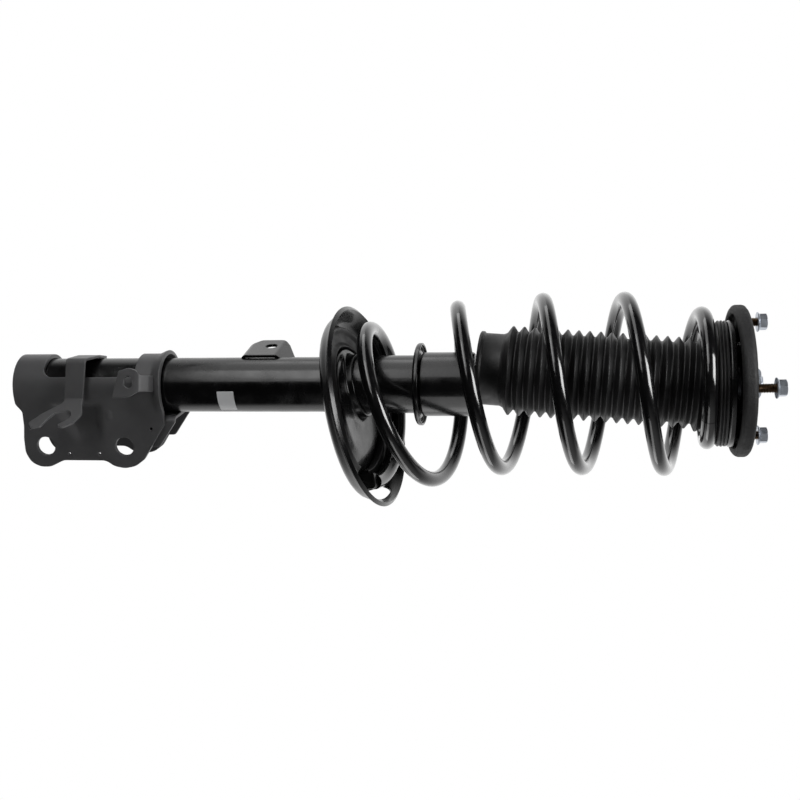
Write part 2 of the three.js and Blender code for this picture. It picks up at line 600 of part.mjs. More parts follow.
// Section of the dish from its hub over the bowl to its turned rim, as [radius, height].
function seatOutline() {
  const t = SEAT_SHEET;
  const floor = -SEAT_DEPTH;
  const hub = floor + SEAT_HUB_RISE;
  const wall = (step) => {
    const angle = (step * Math.PI) / 8;
    const reach = SEAT_R - 3 - SEAT_FLOOR_R;
    return [SEAT_FLOOR_R + reach * Math.sin(angle), floor * Math.cos(angle)];
  };
  const offset = ([r, z], step) => {
    const angle = (step * Math.PI) / 8;
    return [r - t * Math.sin(angle), z + t * Math.cos(angle)];
  };
  const steps = [0, 1, 2, 3, 4];
  return [
    [SEAT_HUB_R, hub], [SEAT_HUB_R + 6, hub], [SEAT_HUB_R + 11, floor], ...steps.map(wall),
    [SEAT_R, 0], [SEAT_R, SEAT_RIM_HEIGHT], [SEAT_R - 3, SEAT_RIM_HEIGHT + 1],
    ...steps.map((step) => offset(wall(step), step)).reverse(),
    [SEAT_HUB_R + 12.5, floor + t], [SEAT_HUB_R + 7.5, hub + t], [SEAT_HUB_R, hub + t],
  ];
}

// Hub of the seat: a web between the dish and a short neck that is welded to the tube.
function seatHub() {
  const neck = ring(TUBE_NECK_R + CLEARANCE, TUBE_NECK_R + SEAT_SHEET + CLEARANCE, 322, 345, 28);
  const floor = -SEAT_DEPTH + SEAT_HUB_RISE;
  const web = turnedInSeat([
    [1, floor], [SEAT_HUB_R + 0.5, floor], [SEAT_HUB_R + 0.5, floor + SEAT_SHEET],
    [1, floor + SEAT_SHEET],
  ], 28);
  const core = turnedInSeat([[0.2, floor], [1.2, floor], [1.2, floor + SEAT_SHEET],
    [0.2, floor + SEAT_SHEET]], 12);
  return web.add(core).add(neck).subtract(bar(TUBE_NECK_R + CLEARANCE, 290, 380, 28));
}

function lowerSpringSeat() {
  const dish = turnedInSeat(seatOutline(), 28).add(seatHub());
  const wedge = new THREE.Shape();
  const reach = SEAT_R - 8;
  const start = SEAT_HUB_R + 14;
  const half = SEAT_WINDOW_HALF_ANGLE;
  wedge.moveTo(start * Math.cos(half), -start * Math.sin(half));
  wedge.lineTo(reach * Math.cos(half), -reach * Math.sin(half));
  wedge.absarc(0, 0, reach, -half, half);
  wedge.lineTo(start * Math.cos(half), start * Math.sin(half));
  const window = solid(extruded(wedge, -60, 6).rotateZ(0.12).applyMatrix4(seatPlacement()));
  return dish.subtract(window).subtract(bar(TUBE_NECK_R + CLEARANCE, 290, 380, 28));
}

// Rubber track under the first part turn of the coil, with a stop block at its end.
function lowerInsulator() {
  const low = -SEAT_DEPTH + SEAT_SHEET + CLEARANCE;
  const inner = SPRING_LOW_R - PAD_WIDTH / 2 + 1;
  const outer = SEAT_FLOOR_R + PAD_OUTER_STEP;
  const bed = low + PAD_THICKNESS - 2 * CLEARANCE;
  const track = turnedInSeat([
    [inner, low], [SEAT_FLOOR_R, low], [outer, low + PAD_OUTER_RISE], [outer, bed + PAD_LIP],
    [outer - 3, bed], [inner + 3, bed], [inner, bed + PAD_LIP],
  ], 28);
  const gap = new THREE.Shape();
  gap.moveTo(0, 0);
  gap.lineTo(200, -40);
  gap.lineTo(200, 34);
  const opening = solid(extruded(gap, -60, 40).applyMatrix4(seatPlacement()));
  return track.subtract(opening);
}

// ---------------------------------------------------------------- coil spring
const smooth = (edge0, edge1, value) => THREE.MathUtils.smoothstep(value, edge0, edge1);

// Height of the wire's centre over a turn count, before the lower seat's tilt is added: it
// leaves the seat gently, rises evenly, and closes gently under the upper seat.
function springHeight(turns) {
  const start = SEAT_CENTRE_Z - SEAT_DEPTH + SEAT_SHEET + PAD_THICKNESS + WIRE_R;
  const wound = turns + SPRING_TURNS_BELOW;
  const lift = SPRING_LIFT_TURNS * (1 - Math.exp(-wound / SPRING_LIFT_TURNS));
  const pitch = (SPRING_TOP_Z - start) / SPRING_RISE_TURNS;
  const below = SPRING_TOP_Z - (start + pitch * (wound - lift));
  return SPRING_TOP_Z - SPRING_CLOSE * Math.log(1 + Math.exp(below / SPRING_CLOSE));
}

// Centre line of the wire: it winds up anticlockwise seen from above, from the tilted lower
// seat through the full-width body to a narrow closed coil under the upper seat.
function springPoint(turns) {
  const angle = Math.PI + turns * 2 * Math.PI;
  const widen = smooth(-0.1, 1, turns);
  const narrow = smooth(SPRING_TURNS - 1.5, SPRING_TURNS - 0.5, turns);
  const body = THREE.MathUtils.lerp(SPRING_LOW_R, SPRING_R, widen);
  const r = THREE.MathUtils.lerp(body, SPRING_TOP_R, narrow);
  const settle = 1 - smooth(-0.2, 1.7, turns);
  const x = r * Math.cos(angle);
  const y = r * Math.sin(angle);
  const tilt = settle * (SEAT_TILT_X * x + SEAT_TILT_Y * y);
  const centre = SEAT_CENTRE_X * settle;
  return new THREE.Vector3(x + centre, y, springHeight(turns) + tilt);
}

class SpringCurve extends THREE.Curve {
  getPoint(t, target = new THREE.Vector3()) {
    const turns = -SPRING_TURNS_BELOW + t * (SPRING_TURNS + SPRING_TURNS_BELOW);
    return target.copy(springPoint(turns));
  }
}

function coilSpring() {
  const section = new THREE.Shape();
  section.absarc(0, 0, WIRE_R, 0, 2 * Math.PI);
  return solid(new THREE.ExtrudeGeometry(section, {
    steps: 110, extrudePath: new SpringCurve(), curveSegments: 4, bevelEnabled: false,
  }));
}

// ---------------------------------------------------------------- rod and its pieces
function pistonRod() {
  const foot = PISTON_Z - 12;
  return turned([
    [0, foot], [ROD_FOOT_R, foot], [ROD_FOOT_R, PISTON_Z + PISTON_HEIGHT + CLEARANCE],
    [ROD_R, PISTON_Z + PISTON_HEIGHT + CLEARANCE + 0.5], [ROD_R, ROD_SHOULDER_Z],
    [ROD_TIP_R, ROD_SHOULDER_Z + 0.5], [ROD_TIP_R, ROD_TIP_Z - 1], [ROD_TIP_R - 1, ROD_TIP_Z],
    [0, ROD_TIP_Z],
  ]);
}

const PISTON_BAND_R = CYLINDER_BORE_R - CLEARANCE;

function piston() {
  const top = PISTON_Z + PISTON_HEIGHT;
  const r = PISTON_BAND_R - 1.8;
  let body = turned([
    [ROD_FOOT_R + CLEARANCE, PISTON_Z], [r + 1.2, PISTON_Z], [r + 1.2, PISTON_Z + 2],
    [r, PISTON_Z + 2], [r, top - 2], [r + 1.2, top - 2], [r + 1.2, top],
    [ROD_FOOT_R + CLEARANCE, top],
  ]);
  for (let k = 0; k < 4; k += 1) {
    const angle = (k * Math.PI) / 2;
    body = body.subtract(solid(new THREE.CylinderGeometry(1.6, 1.6, 60, 8)
      .rotateX(Math.PI / 2).translate(10 * Math.cos(angle), 10 * Math.sin(angle), PISTON_Z)));
  }
  return body;
}

const pistonBand = () => ring(PISTON_BAND_R - 1.5, PISTON_BAND_R, PISTON_Z + 2 + CLEARANCE,
  PISTON_Z + PISTON_HEIGHT - 2 - CLEARANCE, 24);

function hexagon(acrossFlats) {
  const shape = new THREE.Shape();
  const r = acrossFlats / Math.sqrt(3);
  for (let k = 0; k < 6; k += 1) {
    const angle = (k * Math.PI) / 3;
    shape[k ? 'lineTo' : 'moveTo'](r * Math.cos(angle), r * Math.sin(angle));
  }
  return shape;
}

function pistonNut() {
  return solid(extruded(hexagon(18), PISTON_Z - 10, PISTON_Z - CLEARANCE))
    .subtract(bar(ROD_FOOT_R + CLEARANCE, PISTON_Z - 20, PISTON_Z + 5));
}

const reboundStop = () => {
  const low = PISTON_Z + PISTON_HEIGHT + 4;
  return ring(ROD_R + CLEARANCE, CYLINDER_BORE_R - 1.2, low, low + REBOUND_STOP_HEIGHT);
};

function bumpStop() {
  const span = BUMP_LENGTH;
  return turned([
    [ROD_R + 1, BUMP_LOW_Z], [BUMP_R - 6, BUMP_LOW_Z], [BUMP_R - 3, BUMP_LOW_Z + span * 0.2],
    [BUMP_R - 6, BUMP_LOW_Z + span * 0.32], [BUMP_R, BUMP_LOW_Z + span * 0.5],
    [BUMP_R - 4, BUMP_LOW_Z + span * 0.66], [BUMP_R, BUMP_LOW_Z + span * 0.84],
    [BUMP_R - 1, BUMP_TOP_Z], [ROD_R + 1, BUMP_TOP_Z],
  ]);
}

function bumpStopCup() {
  const inner = BUMP_R + CLEARANCE;
  const outer = inner + BUMP_CUP_SHEET;
  const low = BUMP_TOP_Z - 10;
  const roof = BUMP_TOP_Z + CLEARANCE;
  return turned([
    [inner, low], [outer, low], [outer, roof + BUMP_CUP_SHEET],
    [ROD_R + 1, roof + BUMP_CUP_SHEET], [ROD_R + 1, roof], [inner, roof],
  ]);
}

// ---------------------------------------------------------------- dust boot
// Bellows that hangs from the upper seat, with a plain cuff at its free end; it leans away
// from the strut's axis about its upper end.
function dustBoot() {
  const cuffTop = BOOT_LOW_Z + BOOT_CUFF_LENGTH;
  const outline = [
    [BOOT_BORE_R, BOOT_LOW_Z], [BOOT_CUFF_R + 1.4, BOOT_LOW_Z], [BOOT_CUFF_R + 1.4, BOOT_LOW_Z + 3],
    [BOOT_CUFF_R, BOOT_LOW_Z + 4], [BOOT_CUFF_R, cuffTop],
  ];
  for (let k = 0; k < BOOT_FOLDS; k += 1) {
    const crest = cuffTop + (k + 0.5) * BOOT_PITCH;
    outline.push([BOOT_CREST_R, crest], [BOOT_ROOT_R, crest + BOOT_PITCH / 2]);
  }
  const last = cuffTop + BOOT_FOLDS * BOOT_PITCH;
  outline.push([BOOT_CREST_R + 2, last + 4], [BOOT_CREST_R + 1, BOOT_TOP_Z],
    [BOOT_BORE_R, BOOT_TOP_Z]);
  const points = outline.map(([r, z]) => new THREE.Vector2(r, z));
  points.push(points[0].clone());
  return solid(new THREE.LatheGeometry(points, 18).rotateX(Math.PI / 2)
    .translate(0, 0, -BOOT_PIVOT_Z).rotateY(BOOT_SWING).translate(0, 0, BOOT_PIVOT_Z));
}

// ---------------------------------------------------------------- upper seat and bearing
const INSULATOR_TOP_Z = INSULATOR_START_Z + INSULATOR_HEIGHT;
const UPPER_SEAT_LOW_Z = INSULATOR_TOP_Z + CLEARANCE;

function upperInsulator() {
  const z = INSULATOR_START_Z;
  const inner = BOOT_CREST_R + 3.5;
  return turned([
    [inner, z], [INSULATOR_R - 2, z], [INSULATOR_R, z + 1.5], [INSULATOR_R, z + 3.4],
    [INSULATOR_R - 1.6, z + 4.2], [INSULATOR_R, z + 5], [INSULATOR_R, z + 6.6],
    [INSULATOR_R - 1.6, z + 7.4], [INSULATOR_R - 0.4, z + 8.2], [INSULATOR_R - 0.4, INSULATOR_TOP_Z],
    [inner, INSULATOR_TOP_Z],
  ], 28);
}

// Pressed cup: an outer band, a web over the insulator, and a raised middle for the bearing.
function upperSpringSeat() {
  const t = UPPER_SEAT_SHEET;
  const webTop = BEARING_LOW_Z - CLEARANCE;
  return turned([
    [ROD_R + 1, webTop - t], [BEARING_R + 6, webTop - t], [BEARING_R + 8, UPPER_SEAT_LOW_Z],
    [UPPER_SEAT_R, UPPER_SEAT_LOW_Z], [UPPER_SEAT_R, UPPER_SEAT_TOP_Z],
    [UPPER_SEAT_R - t, UPPER_SEAT_TOP_Z], [UPPER_SEAT_R - t, UPPER_SEAT_LOW_Z + t],
    [BEARING_R + 8 + t, UPPER_SEAT_LOW_Z + t], [BEARING_R + 6, webTop], [ROD_R + 1, webTop],
  ], 28);
}

// ---------------------------------------------------------------- top mount
// Matrix that carries the mount's own frame, top face at z = 0, to its canted place.
function mountPlacement() {
  const z = new THREE.Vector3(-MOUNT_CANT_X, -MOUNT_CANT_Y, 1).normalize();
  const x = new THREE.Vector3(1, 0, MOUNT_CANT_X).normalize();
  const y = new THREE.Vector3().crossVectors(z, x);
  return new THREE.Matrix4().makeBasis(x, y, z).setPosition(0, 0, MOUNT_TOP_Z);
}

const BUSH_LOW = -MOUNT_THICKNESS - 0.5;

function mountCover() {
  const low = -MOUNT_THICKNESS;
  const rim = low - MOUNT_RIM_DROP;
  let body = turned([
    [MOUNT_PLATE_R + CLEARANCE, low], [MOUNT_R - MOUNT_RIM_WIDTH, low],
    [MOUNT_R - MOUNT_RIM_WIDTH, rim], [MOUNT_R - 2, rim], [MOUNT_R, rim + 2.5], [MOUNT_R, -3],
    [MOUNT_R - 1, -1], [MOUNT_R - 3, 0], [MOUNT_PLATE_R + CLEARANCE, 0],
  ], 30).translate([MOUNT_CENTRE_X, 0, 0]);
  const core = bar(MOUNT_PLATE_R + CLEARANCE, low - 9, 9, 28);
  body = body.add(ring(MOUNT_PLATE_R - 2, MOUNT_PLATE_R + 4, low, 0, 28)).subtract(core);
  for (const [x, y] of studPlaces()) {
    body = body.subtract(bar(STUD_R + CLEARANCE, low - 9, 9, 12).translate([x, y, 0]))
      .subtract(bar(STUD_HEAD_R + CLEARANCE, low - 9, low + STUD_HEAD_HEIGHT + CLEARANCE, 14)
        .translate([x, y, 0]));
  }
  return body;
}

function studPlaces() {
  return [0, 1, 2].map((k) => {
    const angle = STUD_CLOCK + (k * 2 * Math.PI) / 3;
    return [MOUNT_CENTRE_X / 2 + STUD_CIRCLE_R * Math.cos(angle), STUD_CIRCLE_R * Math.sin(angle)];
  });
}

// Steel housing round the rubber bush, set in the middle of the cover.
const mountPlate = () => turned([
  [BUSH_R + CLEARANCE, -MOUNT_THICKNESS], [MOUNT_PLATE_R, -MOUNT_THICKNESS],
  [MOUNT_PLATE_R, 2], [BUSH_R + CLEARANCE, 2],
], 28);

const mountBush = () => turned([
  [BUSH_SLEEVE_R + 3, BUSH_LOW], [BUSH_R, BUSH_LOW], [BUSH_R, 1],
  [BUSH_R - 4, 2.5], [BUSH_SLEEVE_R + 3, 1],
], 32);

function studBody(x, y) {
  const low = -MOUNT_THICKNESS;
  return turned([
    [0, low], [STUD_HEAD_R, low], [STUD_HEAD_R, low + STUD_HEAD_HEIGHT],
    [STUD_R, low + STUD_HEAD_HEIGHT], [STUD_R, STUD_LENGTH - 1], [STUD_R - 1, STUD_LENGTH],
    [0, STUD_LENGTH],
  ], 12).translate([x, y, 0]);
}

function nutBody(x, y) {
  const hex = solid(extruded(hexagon(NUT_ACROSS_FLATS), NUT_BASE, NUT_BASE + NUT_HEIGHT));
  const flange = turned([
    [0, NUT_BASE], [NUT_FLANGE_R, NUT_BASE], [NUT_FLANGE_R, NUT_BASE + 0.8],
    [NUT_ACROSS_FLATS / 2, NUT_BASE + NUT_FLANGE_HEIGHT], [0, NUT_BASE + NUT_FLANGE_HEIGHT],
  ], 24);
  return hex.add(flange).subtract(bar(STUD_R + CLEARANCE, NUT_BASE - 5, NUT_BASE + 20, 14))
    .translate([x, y, 0]);
}

const innerSleeve = () => ring(ROD_TIP_R + CLEARANCE, BUSH_SLEEVE_R, ROD_SHOULDER_Z + 1,
  MOUNT_TOP_Z + 3, 24);

function rodNut() {
  const low = MOUNT_TOP_Z + 3 + CLEARANCE;
  return solid(extruded(hexagon(ROD_NUT_ACROSS_FLATS), low, low + ROD_NUT_HEIGHT))
    .subtract(bar(ROD_TIP_R + CLEARANCE, low - 5, low + 20));
}

const BALL_LOW_Z = BEARING_LOW_Z + RACE_HEIGHT + CLEARANCE;
const UPPER_RACE_Z = BALL_LOW_Z + 2 * BALL_R + CLEARANCE;

const race = (low) => ring(BEARING_BORE_R, BEARING_R, low, low + RACE_HEIGHT, 24);

// Thin cage with its balls.
function ballCage() {
  const middle = (BEARING_BORE_R + BEARING_R) / 2;
  const z = BALL_LOW_Z + BALL_R;
  let cage = ring(middle - 2.4, middle + 2.4, z - 0.5, z + 0.5, 24);
  for (let k = 0; k < BALL_COUNT; k += 1) {
    const angle = (k * 2 * Math.PI) / BALL_COUNT;
    cage = cage.add(solid(new THREE.SphereGeometry(BALL_R, 6, 4)
      .translate(middle * Math.cos(angle), middle * Math.sin(angle), z)));
  }
  return cage;
}

// ---------------------------------------------------------------- assembly
const strut = new THREE.Group();

const tubeGroup = new THREE.Group();
tubeGroup.add(
  mesh('outer_tube', outerTube(), glossyPaint),
  mesh('base_cap', baseCap(), steel),
  mesh('base_valve', baseValve(), steel),
  mesh('pressure_cylinder',
    ring(CYLINDER_BORE_R, CYLINDER_R, CYLINDER_LOW_Z, CYLINDER_TOP_Z), steel),
  mesh('rod_guide', rodGuide(), steel),
  mesh('oil_seal', oilSeal(), bootRubber),
  mesh('gland_sleeve', glandSleeve(), glossyPaint),
  mesh('stop_plate', stopPlate(), glossyPaint),
  mesh('link_bracket', linkBracket(), glossyPaint),
  mesh('label', label(), labelFilm),
  mesh('lower_spring_seat', lowerSpringSeat(), glossyPaint),
  mesh('lower_spring_insulator', lowerInsulator(), bootRubber),
  mesh('sensor_bracket', sensorBracket(), satinCoat),
  mesh('hose_bracket', hoseBracket(), satinCoat),
);

const bracketGroup = new THREE.Group();
bracketGroup.rotation.z = BRACKET_CLOCK;
bracketGroup.add(
  mesh('knuckle_bracket', knuckleBracket(), satinCoat),
  mesh('bracket_brace', bracketBrace(), satinCoat),
);

const rodGroup = new THREE.Group();
rodGroup.add(
  mesh('piston_rod', pistonRod(), chromedSteel),
  mesh('piston', piston(), steel),
  mesh('piston_band', pistonBand(), polymer),
  mesh('piston_nut', pistonNut(), steel),
  mesh('rebound_stop', reboundStop(), bootRubber),
  mesh('bump_stop', bumpStop(), foam),
  mesh('bump_stop_cup', bumpStopCup(), steel),
  mesh('dust_boot', dustBoot(), bootRubber),
  mesh('upper_spring_insulator', upperInsulator(), bootRubber),
  mesh('upper_spring_seat', upperSpringSeat(), glossyPaint),
  mesh('bearing_lower_race', race(BEARING_LOW_Z), steel),
  mesh('bearing_ball_cage', ballCage(), polymer),
  mesh('bearing_upper_race', race(UPPER_RACE_Z), steel),
  mesh('mount_inner_sleeve', innerSleeve(), steel),
  mesh('rod_nut', rodNut(), brightZinc),
);

const mountGroup = new THREE.Group();
mountGroup.applyMatrix4(mountPlacement());
mountGroup.add(
  mesh('mount_cover', mountCover(), mountRubber),
  mesh('mount_plate', mountPlate(), steel),
  mesh('mount_bush', mountBush(), mountRubber),
);
studPlaces().forEach(([x, y], k) => {
  mountGroup.add(mesh(`mount_stud_${k + 1}`, studBody(x, y), yellowZinc));
  mountGroup.add(mesh(`flange_nut_${k + 1}`, nutBody(x, y), brightZinc));
});

strut.add(tubeGroup, bracketGroup, rodGroup, mountGroup,
  mesh('coil_spring', coilSpring(), springEnamel));
strut.updateMatrixWorld(true);

export default strut;
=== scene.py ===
import math

import bpy
import numpy as np
from bpy.props import FloatProperty, FloatVectorProperty, IntProperty, PointerProperty
from mathutils import Matrix, Vector


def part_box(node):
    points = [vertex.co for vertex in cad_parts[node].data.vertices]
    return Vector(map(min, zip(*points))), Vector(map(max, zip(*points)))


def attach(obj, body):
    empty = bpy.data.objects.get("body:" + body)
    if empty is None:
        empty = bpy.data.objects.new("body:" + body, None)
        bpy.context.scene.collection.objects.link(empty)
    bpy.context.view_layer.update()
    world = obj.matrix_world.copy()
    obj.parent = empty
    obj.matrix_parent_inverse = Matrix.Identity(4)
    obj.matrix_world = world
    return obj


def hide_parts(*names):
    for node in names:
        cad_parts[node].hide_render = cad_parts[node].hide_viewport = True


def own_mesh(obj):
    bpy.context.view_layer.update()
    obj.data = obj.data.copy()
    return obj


bl_info = {
    "name": "Strut Assembly",
    "version": (1, 0, 0),
    "blender": (4, 5, 0),
    "location": "View3D > Sidebar > Strut",
    "description": "Builds a coil-over suspension strut round a packed CAD frame",
    "category": "Add Mesh",
}

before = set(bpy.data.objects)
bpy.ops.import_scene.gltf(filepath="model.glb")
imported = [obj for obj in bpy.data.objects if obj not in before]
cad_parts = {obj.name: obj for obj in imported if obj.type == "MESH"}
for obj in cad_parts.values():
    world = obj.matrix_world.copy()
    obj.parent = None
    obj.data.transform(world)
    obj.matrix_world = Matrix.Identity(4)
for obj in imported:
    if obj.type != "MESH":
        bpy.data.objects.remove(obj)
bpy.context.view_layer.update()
MM = 0.001


# ---------------------------------------------------------------- colours and sizes
def linear(hex_code):
    """Linear RGBA of an sRGB hex colour such as "1c1c1d"."""
    channels = [int(hex_code[k:k + 2], 16) / 255 for k in (0, 2, 4)]
    return [c / 12.92 if c <= 0.04045 else ((c + 0.055) / 1.055) ** 2.4 for c in channels] + [1.0]


def length(name, millimetres, description):
    return FloatProperty(
        name=name, description=description, default=millimetres * MM, min=0, unit="LENGTH")


def colour(name, hex_code, description):
    return FloatVectorProperty(
        name=name, description=description, default=linear(hex_code), size=4, subtype="COLOR",
        min=0, max=1)


class StrutSizes(bpy.types.PropertyGroup):
    """Sizes that the fine surfaces add to the frame's own."""

    edge: length("Edge round", 0.6, "Radius that the press leaves on a sheet's edges")
    sheet_step: length("Sheet mesh", 1.6, "Spacing of the vertices on pressed sheets")
    ear_clock: FloatProperty(
        name="Ear angle", description="Turn of the knuckle ears about the strut", unit="ROTATION",
        default=math.radians(14))
    wire: length("Spring wire", 14.0, "Diameter of the coated spring wire")
    boot_lean: FloatProperty(
        name="Boot lean", description="Lean of the free boot from the strut's axis",
        unit="ROTATION", default=math.radians(4.28))
    boot_wall: length("Boot wall", 1.6, "Wall of the moulded bellows")
    stud_pitch: length("Stud pitch", 1.25, "Thread pitch of the mount studs")
    rod_pitch: length("Rod pitch", 1.5, "Thread pitch of the rod's end")
    segments: IntProperty(
        name="Segments", description="Faces round a turned piece", default=96, min=16)


class StrutFinishes(bpy.types.PropertyGroup):
    """Base colours of the finishes."""

    gloss_enamel: colour("Gloss enamel", "0a0a0b", "Stoved enamel on the damper")
    satin_coat: colour("Satin coat", "565657", "Electrocoat on the brackets")
    spring_powder: colour("Spring powder", "0b0b0c", "Powder coat on the spring")
    boot_rubber: colour("Boot rubber", "0b0b0c", "Moulded bellows rubber")
    mount_rubber: colour("Mount rubber", "131314", "Rough rubber skin of the mount")
    bright_zinc: colour("Bright zinc", "d3d9e2", "Blue passivated zinc on the nuts")
    yellow_zinc: colour("Yellow zinc", "6b5a48", "Yellow passivated zinc on the studs")
    bare_steel: colour("Bare steel", "8d9094", "Turned steel")
    chrome: colour("Hard chrome", "c8cbce", "Ground chrome on the rod")
    foam: colour("Foam", "c9b98e", "Cellular polyurethane")
    nylon: colour("Nylon", "1d2a3d", "Filled nylon")
    film: colour("Label film", "e4e5e6", "Printed vinyl film")


# ---------------------------------------------------------------- materials
def add(tree, kind, settings=(), links=()):
    """Adds a node, sets its properties and socket values, and links sockets into it."""
    item = tree.nodes.new(kind)
    for key, value in dict(settings).items():
        if isinstance(key, str) and hasattr(item, key):
            setattr(item, key, value)
        else:
            item.inputs[key].default_value = value
    for key, source in dict(links).items():
        tree.links.new(source, item.inputs[key])
    return item


def grain(tree, size_mm, detail=3.0, rough=0.5):
    """Noise whose blobs are about size_mm across, in the object's own metres."""
    where = add(tree, "ShaderNodeTexCoord")
    return add(tree, "ShaderNodeTexNoise", {
        "Scale": 1 / (size_mm * MM), "Detail": detail, "Roughness": rough,
    }, {"Vector": where.outputs["Object"]})


def spread(tree, source, low, high, start=0.3, stop=0.7):
    """Maps a 0..1 value between two numbers."""
    return add(tree, "ShaderNodeMapRange", {
        "From Min": start, "From Max": stop, "To Min": low, "To Max": high,
    }, {"Value": source}).outputs["Result"]


def tint(tree, factor, dark, light):
    """Colour between two linear colours."""
    mix = add(tree, "ShaderNodeMix", {"data_type": "RGBA"})
    mix.inputs[6].default_value = dark
    mix.inputs[7].default_value = light
    tree.links.new(factor, mix.inputs[0])
    return mix.outputs[2]


def scaled(rgba, factor):
    return [min(1.0, c * factor) for c in rgba[:3]] + [1.0]


def surface(name, settings):
    """A material with one Principled shader, and the tree and shader to build on."""
    material = bpy.data.materials.get(name)
    if material:
        return material, None, None
    material = bpy.data.materials.new(name)
    material.use_nodes = True
    tree = material.node_tree
    shader = tree.nodes["Principled BSDF"]
    for key, value in settings.items():
        shader.inputs[key].default_value = value
    return material, tree, shader


def bump(tree, shader, heights, strength, depth_mm):
    item = add(tree, "ShaderNodeBump", {"Strength": strength, "Distance": depth_mm * MM},
               {"Height": heights})
    tree.links.new(item.outputs["Normal"], shader.inputs["Normal"])


def patterned(name, base_key, settings, tone, gloss, relief):
    """A material whose colour, roughness and relief each follow a pattern.

    tone is (pattern, darkest, lightest) as factors of the base colour, gloss is (pattern, low,
    high) roughness, and relief is (pattern, strength, depth in mm). A pattern holds grain's
    arguments, or is a function that adds a node of its own."""
    base = getattr(bpy.context.scene.strut_finishes, base_key)
    material, tree, shader = surface(name, settings)
    if tree:
        made = {}

        def values(pattern):
            if pattern not in made:
                node = pattern(tree) if callable(pattern) else grain(tree, *pattern)
                made[pattern] = node.outputs[0]
            return made[pattern]
        shade = tint(tree, values(tone[0]), *(scaled(base, factor) for factor in tone[1:]))
        tree.links.new(shade, shader.inputs["Base Color"])
        tree.links.new(spread(tree, values(gloss[0]), *gloss[1:]), shader.inputs["Roughness"])
        bump(tree, shader, values(relief[0]), *relief[1:])
    return material


def stoved_enamel():
    """Stoved black enamel: sprayed and baked, so it is glossy with a faint orange peel."""
    peel, haze = (3.0, 2.0), (14.0, 4.0)
    return patterned(
        "stoved_black_enamel", "gloss_enamel",
        {"Metallic": 0.0, "IOR": 1.5, "Coat Weight": 0.2, "Coat Roughness": 0.05},
        tone=(haze, 0.8, 1.3), gloss=(haze, 0.16, 0.3), relief=(peel, 0.12, 0.25))


def satin_electrocoat():
    """Cathodic electrocoat on pressed steel: thin and satin, with the sheet's grain under it
    and a slightly lighter film where it is drawn thin over raised areas."""
    base = bpy.context.scene.strut_finishes.satin_coat
    material, tree, shader = surface("satin_electrocoat_steel", {
        "Metallic": 0.0, "IOR": 1.5, "Specular IOR Level": 0.5})
    if tree:
        fine = grain(tree, 0.9, 4.0, 0.6)
        cloud = grain(tree, 18.0, 3.0)
        wear = add(tree, "ShaderNodeNewGeometry")
        edge = spread(tree, wear.outputs["Pointiness"], 0.0, 1.0, 0.52, 0.62)
        body = tint(tree, cloud.outputs[0], scaled(base, 0.82), scaled(base, 1.15))
        worn = add(tree, "ShaderNodeMix", {"data_type": "RGBA"})
        tree.links.new(edge, worn.inputs[0])
        tree.links.new(body, worn.inputs[6])
        worn.inputs[7].default_value = scaled(base, 1.9)
        tree.links.new(worn.outputs[2], shader.inputs["Base Color"])
        tree.links.new(spread(tree, fine.outputs[0], 0.34, 0.46), shader.inputs["Roughness"])
        bump(tree, shader, fine.outputs[0], 0.16, 0.12)
    return material


def spring_powder():
    """Epoxy powder coat on peened spring wire: thick and glossy, with a long orange peel."""
    peel = (4.5, 2.0)
    return patterned(
        "epoxy_powder_black", "spring_powder",
        {"Metallic": 0.0, "IOR": 1.55, "Coat Weight": 0.8, "Coat Roughness": 0.05},
        tone=(peel, 0.8, 1.4), gloss=(peel, 0.14, 0.24), relief=(peel, 0.14, 0.3))


def moulded_rubber():
    """Moulded EPDM rubber: satin from a fine eroded mould, a little dusty in patches."""
    fine, bloom = (0.8, 3.0), (9.0, 4.0)
    return patterned(
        "moulded_epdm_rubber", "boot_rubber",
        {"Metallic": 0.0, "IOR": 1.5, "Sheen Weight": 0.03, "Sheen Roughness": 0.5},
        tone=(bloom, 0.7, 1.5), gloss=(bloom, 0.36, 0.52), relief=(fine, 0.2, 0.1))


def rough_rubber():
    """Vulcanised rubber skin of the mount: matte and pitted, as the rough mould leaves it."""
    pits, cloud = (1.6, 6.0, 0.65), (12.0, 5.0)
    return patterned(
        "vulcanised_rubber_rough", "mount_rubber", {"Metallic": 0.0, "IOR": 1.5},
        tone=(cloud, 0.5, 2.0), gloss=(pits, 0.5, 0.78), relief=(pits, 0.7, 0.5))


def zinc_plate(name, base_key, rough_low, rough_high):
    """Zinc electroplate with a passivation film: bright, with a faint crystalline bloom."""
    bloom, stain = (1.4, 4.0), (6.0, 3.0)
    return patterned(
        name, base_key, {"Metallic": 1.0},
        tone=(stain, 0.78, 1.1), gloss=(bloom, rough_low, rough_high), relief=(bloom, 0.12, 0.05))


def bright_zinc():
    """Zinc with a blue passivation."""
    return zinc_plate("zinc_blue_passivated", "bright_zinc", 0.3, 0.46)


def yellow_zinc():
    """Zinc with a yellow to bronze passivation."""
    return zinc_plate("zinc_yellow_passivated", "yellow_zinc", 0.28, 0.45)


def tool_rings(tree):
    """Fine rings round the axis, as a lathe tool leaves them."""
    where = add(tree, "ShaderNodeTexCoord")
    return add(tree, "ShaderNodeTexWave", {
        "bands_direction": "Z", "Scale": 1 / (6 * 0.4 * MM), "Distortion": 0.4,
    }, {"Vector": where.outputs["Object"]})


def turned_steel():
    """Bare turned steel: fine tool rings round the axis, with an oily film."""
    stain = (5.0, 4.0)
    return patterned(
        "turned_steel", "bare_steel", {"Metallic": 1.0},
        tone=(stain, 0.7, 1.1), gloss=(stain, 0.28, 0.42), relief=(tool_rings, 0.15, 0.05))


